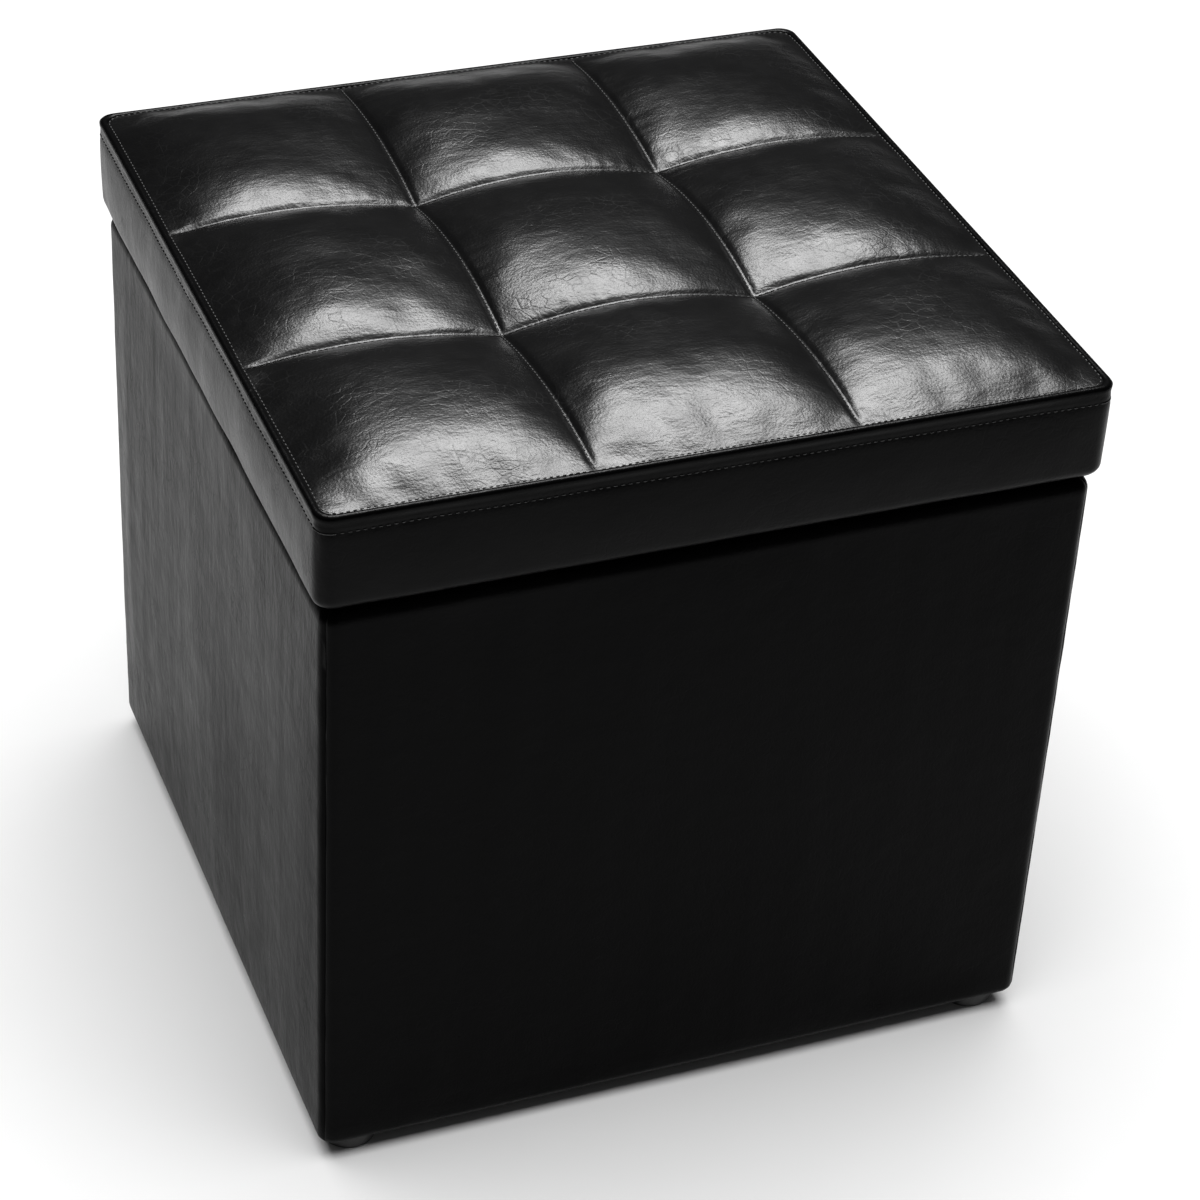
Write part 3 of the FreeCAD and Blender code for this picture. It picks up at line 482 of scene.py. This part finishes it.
class OTTOMAN_OT_cushion(bpy.types.Operator):
    """Make the quilted top cushion with nine pillows"""
    bl_idname = "ottoman.cushion"
    bl_label = "Quilted cushion"

    def execute(self, context):
        settings = context.scene.ottoman_lid
        half = LID_HALF - SEAM_INSET
        clear_selection()
        bpy.ops.mesh.primitive_grid_add(x_subdivisions=6 * CELLS, y_subdivisions=6 * CELLS,
                                        size=6 * TUFT, location=(0, 0, SEAM_Z))
        piece = take("quilted_cushion")
        settle(piece)
        mesh = piece.data
        pins = piece.vertex_groups.new(name="sewn")
        step = TUFT / CELLS
        border = 3 * TUFT - step / 2
        squeeze = half / (3 * TUFT)
        for vertex in mesh.vertices:
            x, y = vertex.co.x, vertex.co.y
            on_x_seam = abs(abs(x) - TUFT) < step / 4
            on_y_seam = abs(abs(y) - TUFT) < step / 4
            at_border = max(abs(x), abs(y)) > border
            along_x = edge_height(x, y, settings)
            along_y = edge_height(y, x, settings)
            rise = settings.pillow_rise * 0.7 * (wave(x) * wave(y)) ** 0.7
            height = blend_edges(x, y, along_x, along_y) + rise
            if on_x_seam:
                height = seam_height(y, settings)
            if on_y_seam:
                height = seam_height(x, settings)
            if at_border:
                height = SEAM_Z
            if on_x_seam or on_y_seam or at_border:
                pins.add([vertex.index], 1.0, "REPLACE")
            vertex.co.x, vertex.co.y = round_corner(x * squeeze, y * squeeze, half, CUSHION_CORNER)
            vertex.co.z = height
        inflate(piece, settings)
        for vertex in mesh.vertices:
            vertex.select = False
        apply_modifier(piece, "SUBSURF", levels=1, render_levels=1)
        self.close_below(piece, half)
        self.sew(piece, squeeze)
        outward(piece)
        dress(piece, "cushion_leather_painted_highlight", "lid")
        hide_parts("top_cover", "lid_wadding", "lid_foam")
        return {"FINISHED"}

    def close_below(self, piece, half):
        """Draw the border down to the lid board and close it with a flat face."""
        clear_selection()
        piece.select_set(True)
        bpy.context.view_layer.objects.active = piece
        bpy.ops.object.mode_set(mode="EDIT")
        bpy.ops.mesh.select_mode(type="EDGE")
        bpy.ops.mesh.select_all(action="DESELECT")
        bpy.ops.mesh.select_non_manifold()
        low = BOARD_TOP + 0.3 * MM
        factor = (half - 1.6 * MM) / half
        bpy.ops.mesh.extrude_region_move(TRANSFORM_OT_translate={"value": (0, 0, -1.5 * MM)})
        bpy.ops.transform.resize(value=(factor, factor, 1), center_override=(0, 0, 0))
        for share in (0.5, 0.5):
            drop = (low - (SEAM_Z - 1.5 * MM)) * share
            bpy.ops.mesh.extrude_region_move(TRANSFORM_OT_translate={"value": (0, 0, drop)})
        bpy.ops.mesh.edge_face_add()
        bpy.ops.object.mode_set(mode="OBJECT")

    def sew(self, piece, squeeze):
        """Press the seams in and gather the leather beside them."""
        for vertex in piece.data.vertices:
            x, y, z = vertex.co
            if z < SEAM_Z - 12 * MM or z < BOARD_TOP + 5 * MM:
                continue
            edge_gap = LID_HALF - max(abs(x), abs(y))
            if edge_gap < 1.6 * MM:
                continue
            fade = min(1.0, max(0.0, (edge_gap - 2 * MM) / (10 * MM)))
            nearest = min(abs(abs(x) - TUFT * squeeze), abs(abs(y) - TUFT * squeeze))
            vertex.co.z -= fade * 1.1 * MM * math.exp(-((nearest / (1.7 * MM)) ** 2))
            for across, along in ((x, y), (y, x)):
                gap = abs(abs(across) - TUFT * squeeze)
                swing = noise.noise(Vector((along * 38, across * 3, 7.0)))
                pucker = math.sin(along / (8.2 * MM) * 2 * math.pi + 3.0 * swing)
                strength = 0.3 + noise.noise(Vector((along * 21, across * 9, 2.0)))
                near = math.exp(-gap / (6.5 * MM)) * (1 - math.exp(-((gap / (2 * MM)) ** 2)))
                vertex.co.z += fade * 0.22 * MM * pucker * near * max(0.0, strength)


def inflate(piece, settings):
    """Blow the sewn leather up into pillows as cloth held along its seams."""
    cloth = piece.modifiers.new("Cloth", "CLOTH")
    options = cloth.settings
    options.quality = 8
    options.mass = 0.25
    options.tension_stiffness = 30
    options.compression_stiffness = 30
    options.shear_stiffness = 12
    options.bending_stiffness = 2.5
    options.vertex_group_mass = "sewn"
    options.pin_stiffness = 1
    options.use_pressure = True
    options.uniform_pressure_force = 6.0
    options.shrink_min = -settings.slack
    options.effector_weights.gravity = 0
    options.air_damping = 3
    cloth.collision_settings.use_self_collision = False
    scene = bpy.context.scene
    for number in range(1, 31):
        scene.frame_set(number)
    clear_selection()
    piece.select_set(True)
    bpy.context.view_layer.objects.active = piece
    bpy.ops.object.modifier_apply(modifier="Cloth")
    scene.frame_set(1)
    apply_modifier(piece, "SMOOTH", factor=0.5, iterations=22, vertex_group="sewn",
                   invert_vertex_group=True)


# ------------------------------------------------------------------ side band and stitching


def band_profile():
    """Outward and height steps from the hem under the lid up to the folded edge."""
    low = LID_LOW.z
    steps = [(-20 * MM, low + 0.2 * MM)]
    steps += run(steps[-1], (-6 * MM, low + 0.2 * MM), 3)
    steps += arc((-6 * MM, low + 6.2 * MM), 6 * MM, -90, 0, 6)[1:]
    steps += run(steps[-1], (0, SEAM_Z - 8 * MM), 16)
    steps += run(steps[-1], (-0.4 * MM, SEAM_Z - 1.6 * MM), 5)
    steps += arc((-1.5 * MM, SEAM_Z - 0.6 * MM), 1.3 * MM, 0, 190, 8)[1:]
    steps += run(steps[-1], (-2.8 * MM, SEAM_Z - 4 * MM), 2)
    return steps


class OTTOMAN_OT_band(bpy.types.Operator):
    """Make the leather band round the lid with its folded edge"""
    bl_idname = "ottoman.band"
    bl_label = "Lid side band"

    def execute(self, context):
        half = LID_HALF - 0.6 * MM
        profile = band_profile()
        piece = square_ring("lid_band", half + profile[0][0], BAND_CORNER, profile[0][1], 95, 8)
        draw_wall(half, profile)
        low = LID_LOW.z
        for vertex in piece.data.vertices:
            point = vertex.co
            gap = half - max(abs(point.x), abs(point.y))
            if gap > 5 * MM or point.z > SEAM_Z - 1.7 * MM:
                continue
            side, along, outward_way = side_and_run(point)
            share = min(1.0, max(0.0, (point.z - low) / (SEAM_Z - low)))
            corner = min(1.0, max(0.0, corner_distance(point) / (25 * MM)))
            belly = 1.4 * MM * math.sin(math.pi * min(1.0, share * 1.12)) * corner
            strip = math.exp(-(((point.z - (SEAM_Z - 4.2 * MM)) / (2.2 * MM)) ** 2))
            crinkle = noise.noise(Vector((along * 160, point.z * 60, len(side))))
            slow = noise.noise(Vector((along * 24, point.z * 20, len(side) + 3.0)))
            groove = math.exp(-(((point.z - (SEAM_Z - BAND_ROW_DROP)) / (0.9 * MM)) ** 2))
            out = belly + 0.55 * MM * strip * crinkle + 0.8 * MM * slow - 0.6 * MM * groove
            if side == "back":
                out = min(0.0, 0.3 * out)
            vertex.co = point + outward_way * (out - 0.6 * MM)
        thicken(piece, 1.0 * MM)
        outward(piece)
        dress(piece, "band_leather", "lid")
        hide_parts("side_band", "topstitching")
        return {"FINISHED"}


def ring_path(half, radius, pitch, height):
    """Points and directions round a rounded square, one a pitch."""
    straight = 2 * (half - radius)
    bend = math.pi * radius / 2
    total = 4 * (straight + bend)
    count = int(total / pitch)
    found = []
    for index in range(count):
        travel = index * total / count
        side, rest = divmod(travel, straight + bend)
        turn = Matrix.Rotation(side * math.pi / 2, 4, "Z")
        if rest < straight:
            point = Vector((-straight / 2 + rest, -half, height))
            way = Vector((1, 0, 0))
        else:
            angle = (rest - straight) / radius
            point = Vector((straight / 2 + radius * math.sin(angle),
                            -half + radius - radius * math.cos(angle), height))
            way = Vector((math.cos(angle), math.sin(angle), 0))
        found.append((turn @ point, turn @ way))
    return found


def one_stitch(length, width):
    """A short bead of thread, its length along X."""
    clear_selection()
    bpy.ops.mesh.primitive_uv_sphere_add(segments=8, ring_count=6, radius=0.5)
    piece = take("stitch")
    bpy.ops.transform.resize(value=(length, width, width))
    settle(piece)
    return piece


def sew_row(name, places, length=2.2 * MM, width=0.7 * MM):
    """Copies of one stitch at every place, joined into one piece."""
    stitch = one_stitch(length, width)
    corners = [vertex.co.copy() for vertex in stitch.data.vertices]
    faces = [tuple(face.vertices) for face in stitch.data.polygons]
    points = []
    polygons = []
    for point, way, up in places:
        side = up.cross(way).normalized()
        turn = Matrix((way, side, up)).transposed()
        first = len(points)
        points.extend(point + turn @ corner for corner in corners)
        polygons.extend(tuple(first + index for index in face) for face in faces)
    stitch.data.clear_geometry()
    stitch.data.from_pydata(points, [], polygons)
    stitch.data.update()
    stitch.name = name
    return stitch


def surface_height(cushion, x, y):
    """Height of the cushion's top under a point."""
    hit, place, _, _ = cushion.ray_cast(Vector((x, y, SEAM_Z + 50 * MM)), Vector((0, 0, -1)))
    return place.z if hit else SEAM_Z


class OTTOMAN_OT_stitches(bpy.types.Operator):
    """Sew the rows of stitches on the lid"""
    bl_idname = "ottoman.stitches"
    bl_label = "Lid stitching"

    def execute(self, context):
        pitch = context.scene.ottoman_lid.stitch_pitch
        cushion = bpy.data.objects["quilted_cushion"]
        up = Vector((0, 0, 1))
        edge = ring_path(LID_HALF - 4.4 * MM, 8 * MM, pitch, 0)
        places = []
        for point, way in edge:
            height = surface_height(cushion, point.x, point.y)
            places.append((Vector((point.x, point.y, height + 0.1 * MM)), way, up))
        row = sew_row("edge_stitches", places, 2.0 * MM, 0.6 * MM)
        dress(row, "thread", "lid")
        squeeze = (LID_HALF - SEAM_INSET) / (3 * TUFT)
        places = []
        for line in (-1, 1):
            count = int(2 * (LID_HALF - 7 * MM) / pitch)
            for index in range(count + 1):
                along = -LID_HALF + 7 * MM + index * pitch
                across = line * TUFT * squeeze
                height = surface_height(cushion, across, along)
                level = Vector((across, along, height + 0.3 * MM))
                slope = surface_height(cushion, across, along + 1 * MM) - height
                places.append((level, Vector((0, 1 * MM, slope)).normalized(), up))
                height = surface_height(cushion, along, across)
                level = Vector((along, across, height + 0.3 * MM))
                slope = surface_height(cushion, along + 1 * MM, across) - height
                places.append((level, Vector((1 * MM, 0, slope)).normalized(), up))
        row = sew_row("quilting_stitches", places, 2.3 * MM, 0.62 * MM)
        dress(row, "thread", "lid")
        band = bpy.data.objects["lid_band"]
        places = []
        for point, way in ring_path(LID_HALF + 20 * MM, 28 * MM, pitch * 1.13,
                                    SEAM_Z - BAND_ROW_DROP):
            inward = (way.cross(up) * -1).normalized()
            hit, place, _, _ = band.ray_cast(point, inward, distance=0.1)
            if hit:
                places.append((place - inward * 0.1 * MM, way, -inward))
        row = sew_row("band_stitches", places, 2.2 * MM, 0.6 * MM)
        dress(row, "thread", "lid")
        return {"FINISHED"}


# ------------------------------------------------------------------ box covers

def cover_profile():
    """Outward and height steps from the hem under the box up and into the box."""
    low = BOX_LOW.z
    rim = BOX_HIGH.z
    steps = [(-19 * MM, low)]
    steps += run(steps[-1], (-5 * MM, low), 3)
    steps += arc((-5 * MM, low + 5 * MM), 5 * MM, -90, 0, 5)[1:]
    steps += run(steps[-1], (0, rim - 7 * MM), 44)
    steps += arc((-6.5 * MM, rim - 6.5 * MM), 6.5 * MM, 0, 90, 8)
    steps += run(steps[-1], (-9.6 * MM, rim), 2)
    steps += arc((-9.6 * MM, rim - 5 * MM), 5 * MM, 90, 180, 5)[1:]
    steps += run(steps[-1], (-14.6 * MM, rim - 30 * MM), 4)
    return steps


class OTTOMAN_OT_covers(bpy.types.Operator):
    """Make the four padded leather covers of the box"""
    bl_idname = "ottoman.covers"
    bl_label = "Box covers"

    def execute(self, context):
        settings = context.scene.ottoman_covers
        half = BOX_HALF
        profile = cover_profile()
        whole = square_ring("box_cover", half + profile[0][0], COVER_CORNER, profile[0][1], 89, 10)
        draw_wall(half, profile)
        low, rim = BOX_LOW.z, BOX_HIGH.z
        for vertex in whole.data.vertices:
            point = vertex.co
            gap = half - max(abs(point.x), abs(point.y))
            if gap > 8 * MM:
                continue
            side, along, outward_way = side_and_run(point)
            seed = {"front": 0.0, "left": 11.0, "right": 23.0, "back": 37.0}[side]
            share = (point.z - low) / (rim - low)
            ends = min(1.0, max(0.0, share / 0.06)) * min(1.0, max(0.0, (1 - share) / 0.05))
            distance = corner_distance(point)
            corner = min(1.0, distance / (30 * MM))
            slow = noise.noise(Vector((along * 9, point.z * 5, seed)))
            streak = noise.noise(Vector((along * 52, point.z * 4.5, seed + 5)))
            fine = noise.noise(Vector((along * 120, point.z * 14, seed + 9)))
            near_corner = math.exp(-distance / (28 * MM))
            tug = noise.noise(Vector((along * 40, point.z * 60, seed + 13)))
            seam = math.exp(-((distance / (1.6 * MM)) ** 2))
            out = settings.belly * math.sin(math.pi * share) * corner
            out += (1.4 * MM * slow + 0.4 * MM * streak + 0.03 * MM * fine) * corner
            out += 0.3 * MM * tug * near_corner
            out -= 0.9 * MM * seam
            vertex.co = point + outward_way * out * ends
        thicken(whole, settings.leather)
        outward(whole)
        for turn, side in enumerate(("front", "right", "back", "left")):
            self.panel(whole, side, turn)
        clear_selection()
        whole.select_set(True)
        bpy.context.view_layer.objects.active = whole
        bpy.ops.object.delete()
        return {"FINISHED"}

    def panel(self, whole, side, turn):
        """Cut one side out of the ring along the corner seams."""
        clear_selection()
        whole.select_set(True)
        bpy.context.view_layer.objects.active = whole
        bpy.ops.object.duplicate()
        piece = take(f"{side}_leather")
        way = math.radians(90 * turn - 90)
        for offset in (-45, 45):
            angle = way + math.radians(offset)
            along = Vector((math.cos(angle), math.sin(angle), 0))
            normal = Vector((-along.y, along.x, 0)) * (1 if offset < 0 else -1)
            bpy.ops.object.mode_set(mode="EDIT")
            bpy.ops.mesh.select_all(action="SELECT")
            bpy.ops.mesh.bisect(plane_co=tuple(normal * 0.05 * MM), plane_no=tuple(normal),
                                clear_inner=True, use_fill=True)
            bpy.ops.object.mode_set(mode="OBJECT")
        outward(piece)
        # front and back panels take a duller leather copy and the sides a still duller one, as
        # painted shade
        finish = "side_leather_painted_shade" if side in ("left", "right") else "front_leather"
        dress(piece, finish, "box")
        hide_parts(f"{side}_cover", f"{side}_foam")


# ------------------------------------------------------------------ linings

def ripple(piece, depth, scale, seed):
    """Soft unevenness of a stapled cloth."""
    for vertex in piece.data.vertices:
        point = vertex.co
        push = depth * noise.noise(Vector((point.x * scale, point.y * scale,
                                           point.z * scale + seed)))
        vertex.co = point + Vector((0, 0, push))


class OTTOMAN_OT_linings(bpy.types.Operator):
    """Make the lining cloths of the box and the lid and the dust cover"""
    bl_idname = "ottoman.linings"
    bl_label = "Linings"

    def execute(self, context):
        self.flat("floor_cloth", "floor_lining", FLOOR_CLOTH_LOW, FLOOR_CLOTH_HIGH,
                  "box", "bottom_panel")
        self.flat("lid_cloth", "lid_lining", LID_CLOTH_LOW, LID_CLOTH_HIGH,
                  "lid", "lid_board")
        self.flat("dust_cloth", "dust_cover", DUST_LOW, DUST_HIGH, "box",
                  "bottom_panel")
        self.walls()
        return {"FINISHED"}

    def flat(self, name, node, low, high, body, held_by):
        clear_selection()
        bpy.ops.mesh.primitive_grid_add(x_subdivisions=60, y_subdivisions=60, size=1,
                                        location=(0, 0, (low.z + high.z) / 2))
        piece = take(name)
        bpy.ops.transform.resize(value=(high.x - low.x, high.y - low.y, 1))
        settle(piece)
        ripple(piece, min(0.12 * MM, (high.z - low.z) / 5), 30.0, 4.0)
        thicken(piece, (high.z - low.z) * 0.5, 0.0)
        outward(piece)
        dress(piece, "lining_cloth", body)
        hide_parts(node)

    def walls(self):
        half = LINING_HIGH.x - 0.3 * MM
        height = LINING_HIGH.z - LINING_LOW.z
        steps = [(0, LINING_LOW.z)] + run((0, LINING_LOW.z), (0, LINING_HIGH.z), 24)
        piece = square_ring("wall_cloth", half, 4 * MM, steps[0][1], 59, 4)
        draw_wall(half, steps)
        for vertex in piece.data.vertices:
            side, along, outward_way = side_and_run(vertex.co)
            share = (vertex.co.z - LINING_LOW.z) / height
            slow = noise.noise(Vector((along * 18, vertex.co.z * 12, len(side))))
            loose = math.sin(math.pi * share) * min(1.0, corner_distance(vertex.co) / (20 * MM))
            vertex.co = vertex.co - outward_way * (0.5 + 0.5 * slow) * 0.8 * MM * loose
        thicken(piece, 0.5 * MM)
        outward(piece)
        dress(piece, "lining_cloth", "box")
        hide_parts("wall_lining")


# ------------------------------------------------------------------ finishes and studio

NODE_FINISHES = {
    "fibreboard": ("front_panel", "back_panel", "left_panel", "right_panel", "bottom_panel",
                   "lid_board"),
    "foam": ("front_foam", "back_foam", "left_foam", "right_foam", "lid_foam"),
    "wadding": ("lid_wadding",),
    "foot_plastic": ("front_left_foot", "front_right_foot", "back_left_foot", "back_right_foot"),
    "bumper_rubber": ("lid_bumpers",),
    "twine": ("tuft_twines",),
}


def slot_of(node):
    """The material slot of a CAD node."""
    for slot, names in NODE_FINISHES.items():
        if node in names:
            return slot
    if "cover" in node or node == "side_band":
        return "black_leather"
    if "lining" in node and "staples" not in node:
        return "lining_cloth"
    if node == "topstitching":
        return "black_thread"
    if "leaf" in node or "bracket" in node or "arm" in node:
        return "hinge_steel"
    return "fastener_steel"


class OTTOMAN_OT_finishes(bpy.types.Operator):
    """Make the finishes and lay them on the plain parts"""
    bl_idname = "ottoman.finishes"
    bl_label = "Finishes"

    def execute(self, context):
        colours = context.scene.ottoman_colours
        leather_finish("black_leather")
        # copies of one leather that differ in gloss only to paint light: the glossier cushion copy
        # gives painted highlights, the duller front, back and side copies give painted shade
        leather_finish("cushion_leather_painted_highlight", 1.0, gloss=0.25)
        leather_finish("band_leather", 0.8, gloss=0.06)
        leather_finish("front_leather", 0.7, sheen_lines=0.0002, gloss=0.035)
        leather_finish("side_leather_painted_shade", 0.9, sheen_lines=0.0006, gloss=0.022)
        cloth_finish("lining_cloth", colours.cloth)
        simple_finish("fibreboard", (0.32, 0.22, 0.13), 0.75, 0.0, 260.0, 0.0002, 0.3)
        simple_finish("foam", (0.62, 0.56, 0.36), 0.95, 0.0, 900.0, 0.0006, 0.2, 0.2)
        simple_finish("wadding", (0.75, 0.75, 0.72), 0.98, 0.0, 1200.0, 0.0004, 0.15, 0.1)
        simple_finish("foot_plastic", (0.012, 0.012, 0.012), 0.45, 0.0, 900.0, 0.00005)
        simple_finish("bumper_rubber", (0.02, 0.02, 0.02), 0.7, 0.0, 700.0, 0.00008)
        simple_finish("thread", colours.thread, 0.55, 0.0, 2500.0, 0.0001, 0.4)
        simple_finish("twine", (0.5, 0.46, 0.36), 0.85, 0.0, 2200.0, 0.0003, 0.3)
        simple_finish("fastener_steel", (0.55, 0.55, 0.53), 0.35, 1.0, 700.0, 0.00004, 0.12,
                      0.5, (1.0, 1.0, 6.0))
        simple_finish("hinge_steel", (0.42, 0.42, 0.41), 0.38, 1.0, 500.0, 0.00005, 0.15,
                      0.5, (8.0, 1.0, 1.0))
        dress_nodes()
        return {"FINISHED"}


def dress_nodes():
    """Lay the finishes on the plain parts that stay in sight."""
    for name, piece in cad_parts.items():
        slot = slot_of(name)
        finish = "thread" if slot == "black_thread" else slot
        piece.data.materials.clear()
        piece.data.materials.append(FINISHES[finish])


def lamp(name, place, target, size, power, colour=(1.0, 1.0, 1.0)):
    clear_selection()
    bpy.ops.object.light_add(type="AREA", location=place)
    light = bpy.context.object
    light.name = name
    light.data.shape = "RECTANGLE"
    light.data.size, light.data.size_y = size
    light.data.energy = power
    light.data.color = colour
    aim = Vector(target) - Vector(place)
    light.rotation_euler = aim.to_track_quat("-Z", "Y").to_euler()
    light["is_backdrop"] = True
    return light


class OTTOMAN_OT_studio(bpy.types.Operator):
    """Set up the floor, the lights and the camera"""
    bl_idname = "ottoman.studio"
    bl_label = "Studio"

    def execute(self, context):
        colours = context.scene.ottoman_studio
        clear_selection()
        bpy.ops.mesh.primitive_plane_add(size=14, location=(0, 0, 0))
        floor = take("studio_floor")
        make = Finish("studio_floor")
        speck = make.noise(30.0, 3.0, 0.6)
        dull = shade(colours.floor, 0.985)
        make.set(Base_Color=make.blend(speck, dull, shade(colours.floor, 1.0)),
                 Roughness=speck * 0.1 + 0.75, Specular_IOR_Level=0.2)
        floor.data.materials.append(make.material)
        floor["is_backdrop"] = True
        world = bpy.data.worlds.new("studio_room")
        world.use_nodes = True
        room = world.node_tree.nodes["Background"]
        room.inputs["Color"].default_value = (1.0, 1.0, 1.0, 1.0)
        room.inputs["Strength"].default_value = colours.fill
        context.scene.world = world
        key = lamp("softbox_back", (0.4, 0.6, 2.05), SOFTBOX_TARGET, (1.1, 0.5), colours.key)
        only = bpy.data.collections.new("ottoman_pieces")
        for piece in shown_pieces():
            only.objects.link(piece)
        key.light_linking.receiver_collection = only
        wide = lamp("softbox_above", (0.0, 0.2, 4.2), (0.0, 0.2, 0.0), (5.0, 5.0),
                    colours.floor_light)
        ground = bpy.data.collections.new("ottoman_ground")
        ground.objects.link(floor)
        wide.light_linking.receiver_collection = ground
        self.camera(context)
        context.scene.view_settings.view_transform = "Standard"
        return {"FINISHED"}

    def camera(self, context):
        clear_selection()
        bpy.ops.object.camera_add(location=CAMERA_PLACE)
        camera = bpy.context.object
        camera.name = "studio_camera"
        turn = Matrix((Vector(CAMERA_RIGHT), Vector(CAMERA_UP), -Vector(CAMERA_AHEAD)))
        camera.rotation_euler = turn.transposed().to_euler()
        camera.data.sensor_width = 36
        camera.data.lens = CAMERA_LENS
        camera.data.clip_end = 60
        camera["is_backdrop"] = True
        context.scene.camera = camera


# ------------------------------------------------------------------ panel and registration

class OTTOMAN_PT_panel(bpy.types.Panel):
    """Sizes and colours of the ottoman"""
    bl_label = "Storage ottoman"
    bl_idname = "OTTOMAN_PT_panel"
    bl_space_type = "VIEW_3D"
    bl_region_type = "UI"
    bl_category = "Ottoman"

    def draw(self, context):
        scene = context.scene
        for group in (scene.ottoman_lid, scene.ottoman_covers, scene.ottoman_colours,
                      scene.ottoman_studio):
            box = self.layout.box()
            for name in group.__annotations__:
                box.prop(group, name)
        for operator in OPERATORS:
            self.layout.operator(operator.bl_idname)


OPERATORS = (OTTOMAN_OT_finishes, OTTOMAN_OT_cushion, OTTOMAN_OT_band, OTTOMAN_OT_stitches,
             OTTOMAN_OT_covers, OTTOMAN_OT_linings, OTTOMAN_OT_studio)
GROUPS = {"ottoman_lid": LidSettings, "ottoman_covers": CoverSettings,
          "ottoman_colours": ColourSettings, "ottoman_studio": StudioSettings}


def register():
    for name, group in GROUPS.items():
        bpy.utils.register_class(group)
        setattr(bpy.types.Scene, name, PointerProperty(type=group))
    for operator in OPERATORS:
        bpy.utils.register_class(operator)
    bpy.utils.register_class(OTTOMAN_PT_panel)


def unregister():
    bpy.utils.unregister_class(OTTOMAN_PT_panel)
    for operator in reversed(OPERATORS):
        bpy.utils.unregister_class(operator)
    for name, group in GROUPS.items():
        delattr(bpy.types.Scene, name)
        bpy.utils.unregister_class(group)


def clear_startup():
    """Remove the objects that an empty file opens with."""
    for name in ("Cube", "Light", "Camera"):
        found = bpy.data.objects.get(name)
        if found:
            bpy.data.objects.remove(found, do_unlink=True)


def main():
    clear_startup()
    register()
    bpy.ops.ottoman.finishes()
    bpy.ops.ottoman.cushion()
    bpy.ops.ottoman.band()
    bpy.ops.ottoman.stitches()
    bpy.ops.ottoman.covers()
    bpy.ops.ottoman.linings()
    bpy.ops.ottoman.studio()


if __name__ == "__main__":
    main()
